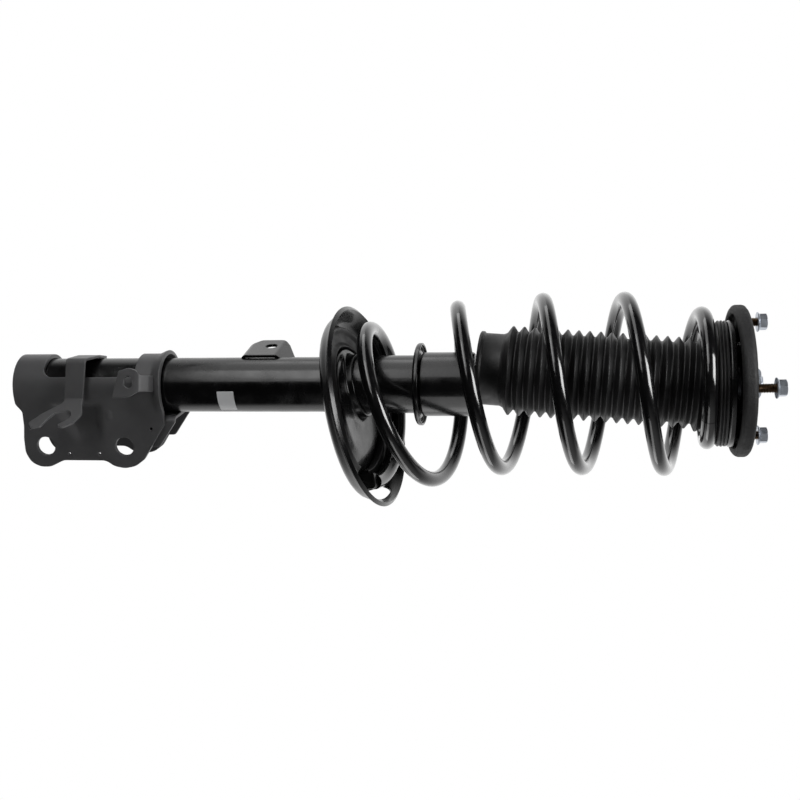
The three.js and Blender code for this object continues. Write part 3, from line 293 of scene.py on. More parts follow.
def hard_chrome():
    """Ground hard chrome: mirror-like, with faint grinding marks round the rod."""
    marks = (2.0, 3.0)
    return patterned(
        "ground_hard_chrome", "chrome", {"Metallic": 1.0},
        tone=(marks, 0.9, 1.05), gloss=(marks, 0.07, 0.14), relief=(marks, 0.05, 0.02))


def cellular_foam():
    """Microcellular polyurethane: matte, with small open cells."""
    cells = (0.9, 4.0, 0.7)
    return patterned(
        "cellular_polyurethane", "foam", {"Metallic": 0.0, "IOR": 1.45},
        tone=(cells, 0.6, 1.1), gloss=(cells, 0.75, 0.95), relief=(cells, 0.8, 0.3))


def filled_nylon():
    """Glass-filled nylon: satin, with a faint flow pattern."""
    flow = (3.0, 3.0)
    return patterned(
        "glass_filled_nylon", "nylon", {"Metallic": 0.0, "IOR": 1.53},
        tone=(flow, 0.85, 1.15), gloss=(flow, 0.45, 0.6), relief=(flow, 0.1, 0.05))


def label_film():
    """Printed vinyl film: a plain silver-grey field, satin, with a fine print grain."""
    print_grain = (0.7, 2.0)
    return patterned(
        "printed_vinyl_film", "film",
        {"Metallic": 0.0, "IOR": 1.5, "Coat Weight": 0.15, "Coat Roughness": 0.2},
        tone=(print_grain, 0.93, 1.05), gloss=(print_grain, 0.35, 0.5),
        relief=(print_grain, 0.05, 0.02))


# ---------------------------------------------------------------- pieces and outlines
def finish_piece(name, vertices, faces, body, material, slot, nodes, sharp=32.0):
    """Makes a mesh object in metres from millimetres, and hooks it to the frame."""
    mesh = bpy.data.meshes.new(name)
    mesh.from_pydata((np.asarray(vertices, float) * MM).tolist(), [], faces)
    mesh.validate()
    mesh.update()
    mesh.shade_smooth()
    mesh.set_sharp_from_angle(angle=math.radians(sharp))
    mesh.materials.append(material)
    piece = bpy.data.objects.new(name, mesh)
    bpy.context.scene.collection.objects.link(piece)
    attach(piece, body)
    if nodes:
        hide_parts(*nodes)
    return piece


def weight_normals(piece):
    modifier = piece.modifiers.new("Weighted normals", "WEIGHTED_NORMAL")
    modifier.keep_sharp = True


def press_piece(name, vertices, faces, node, material, slot):
    """Hooks a pressed sheet that is fixed to the tube to the frame."""
    weight_normals(finish_piece(name, vertices, faces, "strut_tube", material, slot, [node], 50))


def around_z(r, turn, z):
    """Points round Z, at one radius or at a radius for each angle."""
    return np.column_stack([r * np.cos(turn), r * np.sin(turn), np.full(len(turn), z)])


def ring_faces(rings, around, closed=False):
    """Quads between rings that follow each other; closed joins the last to the first."""
    return [[k * around + j, k * around + (j + 1) % around,
             (k + 1) % rings * around + (j + 1) % around, (k + 1) % rings * around + j]
            for k in range(rings if closed else rings - 1) for j in range(around)]


def rounded(points, closed=True, steps=4):
    """Outline with its corners rounded: points are (x, y) or (x, y, corner radius)."""
    count = len(points)
    result = []
    for k, point in enumerate(points):
        radius = point[2] if len(point) > 2 else 0
        here = np.array(point[:2], float)
        if radius <= 0 or (not closed and k in (0, count - 1)):
            result.append(here)
            continue
        before = np.array(points[k - 1][:2], float) - here
        after = np.array(points[(k + 1) % count][:2], float) - here
        before_length, after_length = np.linalg.norm(before), np.linalg.norm(after)
        before, after = before / before_length, after / after_length
        half = math.acos(np.clip(before @ after, -1, 1)) / 2
        if half > math.radians(89):
            result.append(here)
            continue
        reach = min(radius / math.tan(half), 0.49 * before_length, 0.49 * after_length)
        radius = reach * math.tan(half)
        middle = here + (before + after) / np.linalg.norm(before + after) * radius / math.sin(half)
        start, end = here + before * reach - middle, here + after * reach - middle
        sweep = math.atan2(start[0] * end[1] - start[1] * end[0], start @ end)
        pieces = max(1, round(steps * abs(sweep) / (math.pi / 2)))
        for i in range(pieces + 1):
            c, s = math.cos(sweep * i / pieces), math.sin(sweep * i / pieces)
            result.append(middle + np.array([c * start[0] - s * start[1],
                                             s * start[0] + c * start[1]]))
    return np.array(result)


def circle(x, y, radius, count=40):
    turn = np.arange(count) * 2 * math.pi / count
    return np.column_stack([x + radius * np.cos(turn), y + radius * np.sin(turn)])


def turned(outline, segments, steps=4):
    """Revolves a closed outline of (radius, z, corner radius) about Z."""
    on_axis = outline[0][0] == 0 and outline[-1][0] == 0
    points = rounded(outline, closed=not on_axis, steps=steps)
    turn = np.arange(segments) * 2 * math.pi / segments
    vertices, rings = [], []
    for r, z in points:
        if r < 1e-9:
            rings.append([len(vertices)] * segments)
            vertices.append((0, 0, z))
            continue
        rings.append(list(range(len(vertices), len(vertices) + segments)))
        vertices.extend(around_z(r, turn, z).tolist())
    pairs = list(zip(rings[:-1], rings[1:]))
    if not on_axis:
        pairs.append((rings[-1], rings[0]))
    faces = []
    for low, high in pairs:
        for k in range(segments):
            n = (k + 1) % segments
            face = []
            for index in (low[k], low[n], high[n], high[k]):
                if index not in face:
                    face.append(index)
            faces.append(face)
    return np.array(vertices), faces


def span(node):
    """Radius about Z, low z and high z of a CAD node, in millimetres."""
    low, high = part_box(node)
    radius = max(high[1], -low[1], high[0]) / MM
    return radius, low[2] / MM, high[2] / MM


def moved(vertices, matrix):
    """Vertices in millimetres, carried by a 4x4 matrix whose shift is in millimetres."""
    m = np.array(matrix)
    return np.asarray(vertices) @ m[:3, :3].T + m[:3, 3]


def basis(x, y, z, place):
    """Matrix from three axes and a place."""
    matrix = Matrix.Identity(4)
    for k, axis in enumerate((x, y, z)):
        matrix.col[k] = (*axis, 0)
    matrix.col[3] = (*place, 1)
    return matrix


def tilted_frame(rise_x, rise_y, place):
    """Frame whose Z leans so that its plane rises by these amounts along X and Y."""
    z = Vector((-rise_x, -rise_y, 1)).normalized()
    x = Vector((1, 0, rise_x)).normalized()
    return basis(x, z.cross(x), z, place)


# ---------------------------------------------------------------- pressed sheets
def outline_distance(points, outline):
    """Signed distance of 2-D points to a closed outline, negative inside."""
    a = outline
    b = np.roll(outline, -1, axis=0)
    edge = b - a
    to_point = points[:, None, :] - a[None]
    share = np.clip((to_point * edge).sum(2) / np.maximum((edge ** 2).sum(1), 1e-12), 0, 1)
    gap = to_point - share[..., None] * edge
    distance = np.sqrt((gap ** 2).sum(2).min(1))
    above = a[None, :, 1] > points[:, None, 1]
    crosses = above != np.roll(above, -1, axis=1)
    height = np.where(np.abs(edge[:, 1]) < 1e-12, 1e-12, edge[:, 1])
    x_cross = a[:, 0] + (points[:, None, 1] - a[None, :, 1]) * edge[:, 0] / height
    inside = (crosses & (points[:, None, 0] < x_cross)).sum(1) % 2 == 1
    return np.where(inside, -distance, distance)


def region(outer, holes):
    """Signed distance function of an outline with holes, worked out in blocks to save memory."""
    at_once = 4000

    def from_outline(points, outline):
        blocks = np.array_split(points, len(points) // at_once + 1)
        return np.concatenate([outline_distance(block, outline) for block in blocks])

    def distance(points):
        return np.max([from_outline(points, outer)]
                      + [-from_outline(points, hole) for hole in holes], axis=0)
    return distance


def slope_of(distance, at, small):
    """Slope of a distance function at 2-D points, from small steps either way."""
    return np.column_stack([
        distance(at + [small, 0]) - distance(at - [small, 0]),
        distance(at + [0, small]) - distance(at - [0, small])]) / (2 * small)


def pressed_sheet(place, distance, u_range, v_range, step, thickness, edge, wrap=False):
    """Closed sheet with rounded edges: a grid in (u, v), trimmed to where distance is negative,
    carried to space by place, and given its thickness on both sides."""
    nu = max(4, round((u_range[1] - u_range[0]) / step))
    nv = max(2, round((v_range[1] - v_range[0]) / step))
    us = np.linspace(*u_range, nu + 1)[:nu if wrap else nu + 1]
    vs = np.linspace(*v_range, nv + 1)
    grid = np.array([(u, v) for u in us for v in vs])
    index = np.arange(len(us) * len(vs)).reshape(len(us), len(vs))
    following = np.roll(index, -1, axis=0)
    columns = slice(None) if wrap else slice(0, -1)
    quads = np.stack([index[columns, :-1], following[columns, :-1], following[columns, 1:],
                      index[columns, 1:]], axis=-1).reshape(-1, 4)
    du, dv = (u_range[1] - u_range[0]) / nu, (v_range[1] - v_range[0]) / nv
    centres = grid[quads[:, 0]] + np.array([du, dv]) / 2
    quads = quads[distance(centres) < -edge]
    edges = {}
    for quad in quads.tolist():
        for k in range(4):
            edges[(quad[k], quad[(k + 1) % 4])] = True
    border = [pair for pair in edges if (pair[1], pair[0]) not in edges]
    rim = sorted({k for pair in border for k in pair})
    small = 0.05
    for _ in range(3):
        at = grid[rim]
        value = distance(at) + edge
        slope = slope_of(distance, at, small)
        slope /= np.maximum(np.linalg.norm(slope, axis=1), 0.3)[:, None]
        shift = -value[:, None] * slope
        reach = np.linalg.norm(shift, axis=1)
        limit = 0.9 * max(du, dv)
        shift *= np.minimum(1, limit / np.maximum(reach, 1e-9))[:, None]
        grid[rim] = at + shift
    slope = slope_of(distance, grid[rim], small)
    used = sorted({k for quad in quads.tolist() for k in quad})
    renumber = {old: new for new, old in enumerate(used)}
    flat = grid[used]
    here = place(flat[:, 0], flat[:, 1])
    along_u = place(flat[:, 0] + small, flat[:, 1]) - place(flat[:, 0] - small, flat[:, 1])
    along_v = place(flat[:, 0], flat[:, 1] + small) - place(flat[:, 0], flat[:, 1] - small)
    along_u /= np.linalg.norm(along_u, axis=1)[:, None]
    along_v /= np.linalg.norm(along_v, axis=1)[:, None]
    normal = np.cross(along_u, along_v)
    normal /= np.linalg.norm(normal, axis=1)[:, None]
    half = thickness / 2
    count = len(used)
    vertices = [here + normal * half, here - normal * half]
    rim_new = np.array([renumber[k] for k in rim])
    outward = along_u[rim_new] * slope[:, :1] + along_v[rim_new] * slope[:, 1:]
    outward /= np.maximum(np.linalg.norm(outward, axis=1), 1e-9)[:, None]
    profile = [(edge * math.sin(a), half - edge * (1 - math.cos(a)))
               for a in (math.pi / 6, math.pi / 3, math.pi / 2)]
    profile += [(out, -up) for out, up in reversed(profile)]
    for out, up in profile:
        vertices.append(here[rim_new] + outward * out + normal[rim_new] * up)
    vertices = np.concatenate(vertices)
    faces = [[renumber[k] for k in quad] for quad in quads.tolist()]
    faces += [[renumber[k] + count for k in reversed(quad)] for quad in quads.tolist()]
    column = {k: i for i, k in enumerate(rim)}
    rings = len(profile)
    for a, b in border:
        stack_a = [renumber[a]] + [2 * count + ring * len(rim) + column[a]
                                   for ring in range(rings)] + [renumber[a] + count]
        stack_b = [renumber[b]] + [2 * count + ring * len(rim) + column[b]
                                   for ring in range(rings)] + [renumber[b] + count]
        for k in range(rings + 1):
            faces.append([stack_b[k], stack_a[k], stack_a[k + 1], stack_b[k + 1]])
    return vertices, faces


def along(path):
    """Functions of distance along a 2-D path: its point and its left normal."""
    path = np.asarray(path, float)
    lengths = np.concatenate([[0], np.cumsum(np.linalg.norm(np.diff(path, axis=0), axis=1))])

    def point(s):
        beyond_low, beyond_high = np.minimum(s, 0), np.maximum(s - lengths[-1], 0)
        first, last = path[1] - path[0], path[-1] - path[-2]
        first, last = first / np.linalg.norm(first), last / np.linalg.norm(last)
        inner = np.column_stack([np.interp(s, lengths, path[:, k]) for k in (0, 1)])
        return inner + beyond_low[:, None] * first + beyond_high[:, None] * last

    def normal(s):
        tangent = point(s + 0.4) - point(s - 0.4)
        tangent /= np.linalg.norm(tangent, axis=1)[:, None]
        return np.column_stack([-tangent[:, 1], tangent[:, 0]])

    return point, normal, lengths


def smoothstep(low, high, value):
    t = np.clip((value - low) / (high - low), 0, 1)
    return t * t * (3 - 2 * t)


# ---------------------------------------------------------------- knuckle bracket
# Sizes that the frame's box doesn't give, in millimetres.
BRACKET_SHEET = 4.0
WRAP_R = 27.8
EAR_Y = 25.3
PINCH_X = 20.0
BOLT_X, BOLT_LOW_Z, BOLT_HIGH_Z, BOLT_R = 53.5, 26.6, 105.7, 9.0
EAR_REACH, EAR_EDGE_X = 77.0, 67.6
COLLAR_END_Z, BRACKET_END_Z, LIP_RISE = 139.0, 147.0, 3.4
WINDOW_LOW_Z, WINDOW_HIGH_Z, WINDOW_X = 30.0, 121.0, 13.3
EAR_POINTS, SHOULDER_POINTS, BACK_POINTS = 20, 24, 80


def bracket_path():
    """Section of the wrapped sheet's middle: near ear, round back, far ear."""
    def ear(x):
        blend = 1 - smoothstep(1.0, PINCH_X, np.asarray(x, float))
        return EAR_Y + (WRAP_R - EAR_Y) * blend
    xs = np.concatenate([np.linspace(EAR_REACH, PINCH_X, EAR_POINTS),
                         np.linspace(PINCH_X, 0.5, SHOULDER_POINTS)])
    near = np.column_stack([xs, -ear(xs)])
    turn = np.linspace(-math.pi / 2, -3 * math.pi / 2, BACK_POINTS)
    back = np.column_stack([WRAP_R * np.cos(turn), WRAP_R * np.sin(turn)])
    far = np.column_stack([xs[::-1], ear(xs[::-1])])
    return np.concatenate([near, back, far])


def bracket_outline(lengths):
    """Developed outline of one half, mirrored, in (distance along the section, z)."""
    middle = lengths[-1] / 2
    ear = rounded([
        (0, 0), (12, 0, 6), (20, 5.8, 6), (34, 6, 8), (46, 4.6, 12), (60, 4.6, 14), (70, 9.5, 14),
        (74.3, 19, 14), (74.2, 29, 14), (EAR_EDGE_X, 43, 12), (EAR_EDGE_X, 86, 12), (73, 93, 16),
        (75.2, 104, 16), (73, 115, 16), (66.5, 124, 10), (32, BRACKET_END_Z, 5),
        (0, BRACKET_END_Z)], closed=False, steps=12)
    half = np.column_stack([EAR_REACH - ear[:, 0], ear[:, 1]])
    mirrored = np.column_stack([2 * middle - half[:, 0], half[:, 1]])[::-1]
    return np.concatenate([half, mirrored])


def ear_relief(x, z):
    """Depth of the ears' pressed pocket, behind the slope that runs between the bolts."""
    start = 42 + 0.55 * (x - 20)
    return 5.2 * smoothstep(-3, 7, z - start) * (1 - smoothstep(78, 89, z)) \
        * smoothstep(8, 17, x) * (1 - smoothstep(26, 55, x))


def make_knuckle_bracket(finishes):
    size = bpy.context.scene.strut_sizes
    path = bracket_path()
    point, normal, lengths = along(path)
    reach, total = EAR_REACH, lengths[-1]
    window_u = float(np.interp(math.acos(-WINDOW_X / WRAP_R) - math.pi / 2,
                               [0, math.pi / 2], [0, WRAP_R * math.pi / 2]))
    back_start = lengths[EAR_POINTS + SHOULDER_POINTS - 1]
    window = rounded([
        (back_start + window_u, WINDOW_LOW_Z, 9), (total - back_start - window_u, WINDOW_LOW_Z, 9),
        (total - back_start - window_u, WINDOW_HIGH_Z, 7),
        (back_start + window_u, WINDOW_HIGH_Z, 7)], steps=8)
    holes = [window]
    for z in (BOLT_LOW_Z, BOLT_HIGH_Z):
        holes += [circle(reach - BOLT_X, z, BOLT_R), circle(total - reach + BOLT_X, z, BOLT_R)]
    pilots = ((60.9, 49.5, 1.3), (60.7, 79.8, 1.3), (36.1, 133.5, 1.5), (36.2, 13.1, 1.3))
    holes += [circle(reach - x, z, r, 14) for x, z, r in pilots]
    distance = region(bracket_outline(lengths), holes)

    def raised(s, z):
        """Pressed relief, outwards positive."""
        side = np.minimum(s, total - s)
        x = reach - side
        flare = LIP_RISE * smoothstep(COLLAR_END_Z - 2, BRACKET_END_Z + 1, z) \
            * (1 - smoothstep(8, 26, x))
        dots = sum(np.exp(-(((x - dx) / 2.4) ** 2 + ((z - dz) / 2.4) ** 2) ** 2)
                   for dx, dz in ((21, 93), (25, 93)))
        return flare + 0.7 * dots - ear_relief(x, z)

    def place(s, z):
        at = point(s)
        out = normal(s)
        at = at + out * raised(s, z)[:, None]
        return np.column_stack([at, z])

    vertices, faces = pressed_sheet(
        place, distance, (-1.0, total + 1.0), (0.0, BRACKET_END_Z + 0.01),
        size.sheet_step / MM, BRACKET_SHEET, size.edge / MM)
    vertices = moved(vertices, Matrix.Rotation(size.ear_clock, 4, "Z"))
    press_piece("knuckle_bracket_pressing", vertices, faces, "knuckle_bracket",
                finishes["satin"], "satin_coat")


def make_brace(finishes):
    """Folded channel between the ears."""
    size = bpy.context.scene.strut_sizes
    _, low, high = span("bracket_brace")
    leg_end, web, outer, sheet = 58, 27.2, 21.6, 3.0
    path = rounded([(leg_end, -outer), (web, -outer, 4), (web, outer, 4), (leg_end, outer)],
                   closed=False, steps=8)
    point, _, lengths = along(path)
    total = lengths[-1]

    def leg(x):
        return leg_end - x
    half = [(leg(web), low), (leg(41), low), (leg(41), 118), (leg(55), 125), (leg(55), 139),
            (leg(web + 4), high), (leg(web), high)]
    outline = rounded([(u, z, 3) for u, z in half]
                      + [(total - u, z, 3) for u, z in reversed(half)])

    def place(s, z):
        at = point(s)
        return np.column_stack([at[:, 0], at[:, 1] * (1 - ear_relief(at[:, 0], z) / outer), z])
    vertices, faces = pressed_sheet(place, region(outline, []), (0, total), (low, high),
                                    size.sheet_step / MM, sheet, size.edge / MM)
    vertices = moved(vertices, Matrix.Rotation(size.ear_clock, 4, "Z"))
    press_piece("bracket_brace_channel", vertices, faces, "bracket_brace",
                finishes["satin"], "satin_coat")


# ---------------------------------------------------------------- small brackets
def make_hose_bracket(finishes):
    """Strap over the tube, flat plate in front, fork that slopes out and down."""
    inner, sheet = 25.8, 2.5
    front = -38.5 + sheet / 2
    fork_x, reach, slope = 14.5, 35.0, math.radians(41)
    tip = (fork_x + reach * math.cos(slope), front - reach * math.sin(slope))
    path = rounded([(-inner - sheet / 2 + 0.2, 9), (-inner - sheet / 2, -11, 5), (-23, front, 3.5),
                    (fork_x, front, 5), tip], closed=False, steps=10)
    point, _, lengths = along(path)
    total = lengths[-1]
    bend = total - reach
    strap = [(0, 57, 2), (0, 79, 2), (18, 80, 4), (36, 79, 8), (48, 77, 5), (bend - 2, 75, 3)]
    fork = [(8, 76, 5), (17.8, 79, 7), (28.4, 73.4, 6), (34, 63.7, 2.5), (31.6, 56.9, 2.5),
            (25.1, 66.4, 5), (19.1, 69.6, 4), (13.7, 65.4, 4), (15.6, 53, 5), (24, 46.9, 6),
            (32.4, 43, 3), (35, 34.6, 2.5), (29, 29.5, 2.5), (17.9, 39.1, 8), (4.5, 56.2, 5)]
    outline = rounded(strap + [(bend + out, z, r) for out, z, r in fork]
                      + [(48, 58, 4), (18, 58, 4)], steps=6)
    holes = [circle(8, 70, 2.2, 16)]

    def place(s, z):
        at = point(s)
        return np.column_stack([at, z])
    vertices, faces = pressed_sheet(place, region(outline, holes), (0, total),
                                    (28, 92), 1.0, sheet, 0.5)
    press_piece("hose_bracket_pressing", vertices, faces, "hose_bracket",
                finishes["satin"], "satin_coat")


def make_sensor_bracket(finishes):
    """Tab with a slot across it, on a sloping leg that meets the collar."""
    low, _ = (np.array(corner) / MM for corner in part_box("sensor_bracket"))
    sheet = 3.0
    front = low[1] + sheet / 2
    start, bend = 107.0, 132.0
    path = rounded([(start, front), (bend, front, 4), (bend + 7, front + 9, 4),
                    (bend + 8, -31.5)], closed=False, steps=8)
    point, _, lengths = along(path)
    total = lengths[-1]
    outline = rounded([
        (0.3, 13, 1.5), (17, 12, 9), (26, 7, 4), (total, 7), (total, -8), (26, -8, 4),
        (24, -13, 6), (16.6, -15, 8), (7, -12, 1.5)], steps=8)
    slot_u, slot_x = 16.1, -2.0
    slot = rounded([(slot_u + 4.1 * a, slot_x + 5.5 * b, 4)
                    for a, b in ((-1, -1), (1, -1), (1, 1), (-1, 1))], steps=8)

    def place(s, x):
        at = point(s)
        return np.column_stack([x, at[:, 1], at[:, 0]])
    vertices, faces = pressed_sheet(place, region(outline, [slot]), (0, total), (-15, 13), 0.9,
                                    sheet, 0.5)
    press_piece("sensor_bracket_tab", vertices, faces, "sensor_bracket",
                finishes["satin"], "satin_coat")


def make_link_bracket(finishes):
    """Sloping plate with a hole, folded down to the tube at both ends."""
    slope = math.radians(21.5)
    inner, sheet, reach = 25.8, 3.0, 45.0
    level = sheet / 2
    path = rounded([(218.5, level - 13), (219.5, level, 4), (251, level, 4),
                    (266.5, level - 12)], closed=False, steps=8)
    point, _, lengths = along(path)
    total = lengths[-1]
    first = 13.0
    outline = rounded([
        (3, 2, 2), (total - 1, 2, 2), (total - 1, reach - 26, 6), (total - 14, reach - 5, 8),
        (total - 22, reach, 5), (first + 7, reach, 5), (first - 2, reach - 14, 8),
        (6, 18, 5)], steps=6)
    hole = circle(first + 20.5, reach * 0.6, 5.6)
    away = Vector((-math.sin(slope), math.cos(slope), 0))
    out = Vector((-math.cos(slope), -math.sin(slope), 0))
    start = np.array(out) * inner

    def place(s, v):
        at = point(s)
        return (start + np.outer(v, np.array(away)) + np.outer(at[:, 1], np.array(out))
                + np.outer(at[:, 0], [0, 0, 1]))
    vertices, faces = pressed_sheet(place, region(outline, [hole]), (0, total), (0, reach), 1.0,
                                    sheet, 0.6)
    press_piece("link_bracket_pressing", vertices, faces, "link_bracket",
                finishes["gloss"], "glossy_paint")


# ---------------------------------------------------------------- damper body
def make_damper(finishes):
    count = bpy.context.scene.strut_sizes.segments
    _, low, high = span("outer_tube")
    r, neck, bore = 25.5, 26.6, 23.3
    neck_start_z, neck_end_z, seat_weld_z = 320, 329, 318.5
    tube = turned([
        (bore, low, 0.4), (r, low, 1.2), (r, neck_start_z, 8), (neck, neck_end_z, 8),
        (neck, high, 0.6), (bore, high, 0.4)], count)
    weight_normals(finish_piece("damper_tube", *tube, "strut_tube", finishes["gloss"],
                                "glossy_paint", ["outer_tube"]))
    cap = turned([(0, low), (bore - 5, low, 2), (bore - 2.5, low + 1.2, 1), (bore - 0.3, low + 2.4,
                  0.6), (bore - 0.3, low + 5, 0.4), (0, low + 5)], count)
    weight_normals(finish_piece("damper_base_cap", *cap, "strut_tube", finishes["gloss"],
                                "steel", ["base_cap"]))
    _, low, high = span("gland_sleeve")
    sleeve_r = 29.2
    sleeve = turned([
        (neck + 0.3, low, 0.2), (sleeve_r - 0.6, low, 0.6), (sleeve_r, low + 1.2, 0.6),
        (sleeve_r, high, 2.4), (13, high, 1.2), (13, high - 2.7, 0.3), (neck + 0.3, high - 2.7,
                                                                       0.3)], count, 6)
    weight_normals(finish_piece("gland_sleeve_cap", *sleeve, "strut_tube", finishes["gloss"],
                                "glossy_paint", ["gland_sleeve"]))
    ring_r, low, high = 37.8, *span("stop_plate")[1:]
    sheet = 2.0
    plate = turned([
        (neck + 0.3, low + 1.5, 0.5), (neck + 3, low + 1.5, 2), (neck + 5, low, 2),
        (ring_r, low, 2.6), (ring_r, high, 0.7), (ring_r - sheet, high, 0.7),
        (ring_r - sheet, low + sheet, 1), (neck + 5.6, low + sheet, 2),
        (neck + 3.6, low + 1.5 + sheet, 2), (neck + 0.3, low + 1.5 + sheet, 0.5)], count)
    weight_normals(finish_piece("bump_stop_plate", *plate, "strut_tube", finishes["gloss"],
                                "glossy_paint", ["stop_plate"]))
    weld_bead("gland_weld", neck, low + 0.6, 1.6, finishes)
    weld_bead("seat_weld", r + 0.4, seat_weld_z, 2.2, finishes)


def weld_bead(name, radius, z, leg, finishes):
    """Fillet of weld round the tube and below z, with its overlapping ripples."""
    count, section = 240, 8
    vertices, faces = [], []
    for k in range(count):
        turn = 2 * math.pi * k / count
        ripple = 1 + 0.12 * math.sin(turn * radius / 1.1) + 0.05 * math.sin(5 * turn)
        for j in range(section):
            a = math.pi / 2 * j / (section - 1)
            r = radius - 0.3 + leg * ripple * math.cos(a)
            vertices.append((r * math.cos(turn), r * math.sin(turn),
                             z - leg * ripple * math.sin(a)))
        vertices.append(((radius - 0.6) * math.cos(turn), (radius - 0.6) * math.sin(turn),
                         z + 0.4))
    rows = section + 1
    for k in range(count):
        n = (k + 1) % count
        for j in range(rows):
            m = (j + 1) % rows
            faces.append([k * rows + j, n * rows + j, n * rows + m, k * rows + m])
    finish_piece(name, vertices, faces, "strut_tube", finishes["gloss"], "glossy_paint", [], 60)


def make_label(finishes):
    """Thin film on the tube's front, with no lettering."""
    low, high = (np.array(corner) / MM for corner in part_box("label"))
    r0, thick = 25.62, 0.3
    start, stop = math.radians(-75), math.radians(-24)
    outline = rounded([(start * r0, low[2], 1), (stop * r0, low[2], 1), (stop * r0, high[2], 1),
                       (start * r0, high[2], 1)], steps=4)

    def place(u, z):
        return np.column_stack([(r0 + thick / 2) * np.cos(u / r0),
                                (r0 + thick / 2) * np.sin(u / r0), z])
    vertices, faces = pressed_sheet(place, region(outline, []), (start * r0, stop * r0),
                                    (low[2], high[2]), 0.8, thick, 0.08)
    finish_piece("label_film_patch", vertices, faces, "strut_tube", finishes["film"],
                 "label_film", ["label"], 50)


# ---------------------------------------------------------------- lower spring seat
SEAT_RISE_X, SEAT_RISE_Y = 0.2, 0.135
SEAT_PLACE = (20.0, 0.0, 337.5)
SEAT_R, SEAT_DEPTH, SEAT_SHEET = 93.0, 24.0, 3.0


def seat_frame():
    return tilted_frame(SEAT_RISE_X, SEAT_RISE_Y, SEAT_PLACE)


def seat_scale(turn):
    """How deep the dish is at an angle, as a part of its depth below the first wire."""
    return 0.64 + 0.25 * np.cos(turn) ** 2


def make_lower_seat(finishes):
    """Bowl with a turned rim, a ramped floor, a raised middle and a window at its low side."""
    size = bpy.context.scene.strut_sizes
    into_seat = np.array(seat_frame().inverted())
    tube = np.array([0, 0, SEAT_PLACE[2], 1]) @ into_seat.T
    section = rounded([
        (27.6, -SEAT_DEPTH + 24), (29.5, -SEAT_DEPTH + 12, 5), (49, -SEAT_DEPTH + 11, 4),
        (58, -SEAT_DEPTH + 1.5, 5), (70, -SEAT_DEPTH + 1.5, 10), (83, -SEAT_DEPTH + 9, 14),
        (SEAT_R - 4, -2, 6), (SEAT_R - 1.6, 2.5, 1.5), (SEAT_R - 0.2, -1.0)],
        closed=False, steps=10)
    point, _, lengths = along(section)
    total = lengths[-1]
    reference, window_turn, beyond = 75.0, 0.12, 99
    round_length = 2 * math.pi * reference
    window = rounded([
        (-0.38 * reference, 54, 5), (0.2 * reference, 54, 5), (0.34 * reference, total - 10, 8),
        (-0.5 * reference, total - 10, 8)], steps=6)
    shifted = window + [round_length, 0]

    def place(u, s):
        turn = u / reference + window_turn
        at = point(s)
        pull = 1 - smoothstep(29.5, 60, at[:, 0])
        scale = 1 + (seat_scale(turn) - 1) * smoothstep(0, 4, -at[:, 1])
        x = tube[0] * pull + at[:, 0] * np.cos(turn)
        y = tube[1] * pull + at[:, 0] * np.sin(turn)
        return np.column_stack([x, y, at[:, 1] * scale])
    edges = rounded([(-beyond, 0.3), (round_length + beyond, 0.3),
                     (round_length + beyond, total - 0.3), (-beyond, total - 0.3)])
    vertices, faces = pressed_sheet(place, region(edges, [window, shifted]), (0, round_length),
                                    (0, total), size.sheet_step / MM, SEAT_SHEET, 0.7, wrap=True)
    vertices = moved(vertices, seat_frame())
    piece = finish_piece("lower_seat_dish", vertices, faces, "strut_tube", finishes["gloss"],
                         "glossy_paint", ["lower_spring_seat"], 55)
    weight_normals(piece)


def swept(section, path, up):
    """Closed section swept along a path of points, with capped ends."""
    path = np.asarray(path, float)
    tangent = np.gradient(path, axis=0)
    tangent /= np.linalg.norm(tangent, axis=1)[:, None]
    side = np.cross(tangent, up)
    side /= np.linalg.norm(side, axis=1)[:, None]
    top = np.cross(side, tangent)
    count, rows = len(path), len(section)
    vertices = (path[:, None] + section[None, :, :1] * side[:, None]
                + section[None, :, 1:] * top[:, None]).reshape(-1, 3)
    faces = [[k * rows + j, (k + 1) * rows + j, (k + 1) * rows + (j + 1) % rows,
              k * rows + (j + 1) % rows] for k in range(count - 1) for j in range(rows)]
    faces.append(list(range(rows)))
    faces.append([(count - 1) * rows + j for j in reversed(range(rows))])
    return vertices, faces


def make_lower_insulator(finishes):
    """Rubber track under the wire, with a block that the wire's end butts against."""
    section = rounded([(-11, 0, 1.5), (8, 0, 1.5), (8, 8, 2), (5, 7, 1), (2, 4.6, 3), (-6, 4.6, 3),
                       (-9, 7, 1), (-11, 8, 2)], steps=4)
    block = rounded([(-8, 0, 2), (7, 0, 2), (7, 14, 3), (-8, 14, 3)], steps=4)
    middle = 69.0
    for name, shape, first, last, count, nodes in (
            ("lower_insulator_track", section, -2, 336, 150, ["lower_spring_insulator"]),
            ("lower_insulator_block", block, -8, -1.5, 8, [])):
        turn = np.radians(np.linspace(first, last, count))
        floor = (-SEAT_DEPTH + 1.5) * seat_scale(turn) + SEAT_SHEET / 2 + 0.3
        path = np.column_stack([middle * np.cos(turn), middle * np.sin(turn), floor])
        vertices, faces = swept(shape, path, np.array([0, 0, 1.0]))
        finish_piece(name, moved(vertices, seat_frame()), faces, "strut_tube",
                     finishes["rubber"], "boot_rubber", nodes, 40)


# ---------------------------------------------------------------- coil spring
SPRING_R, SPRING_LOW_R, SPRING_TOP_R = 75.0, 70.0, 51.0
SPRING_START, SPRING_TURNS = -0.5, 4.95
SPRING_LOW_Z, SPRING_RISE_X, SPRING_RISE_Y = 330.0, 0.2, 0.21
SPRING_TOP_Z, SPRING_PITCH, SPRING_LIFT, SPRING_CLOSE = 642.3, 72.0, 0.165, 6.0
SEATED_TURNS, CLOSED_TURNS = 0.0, 4.35


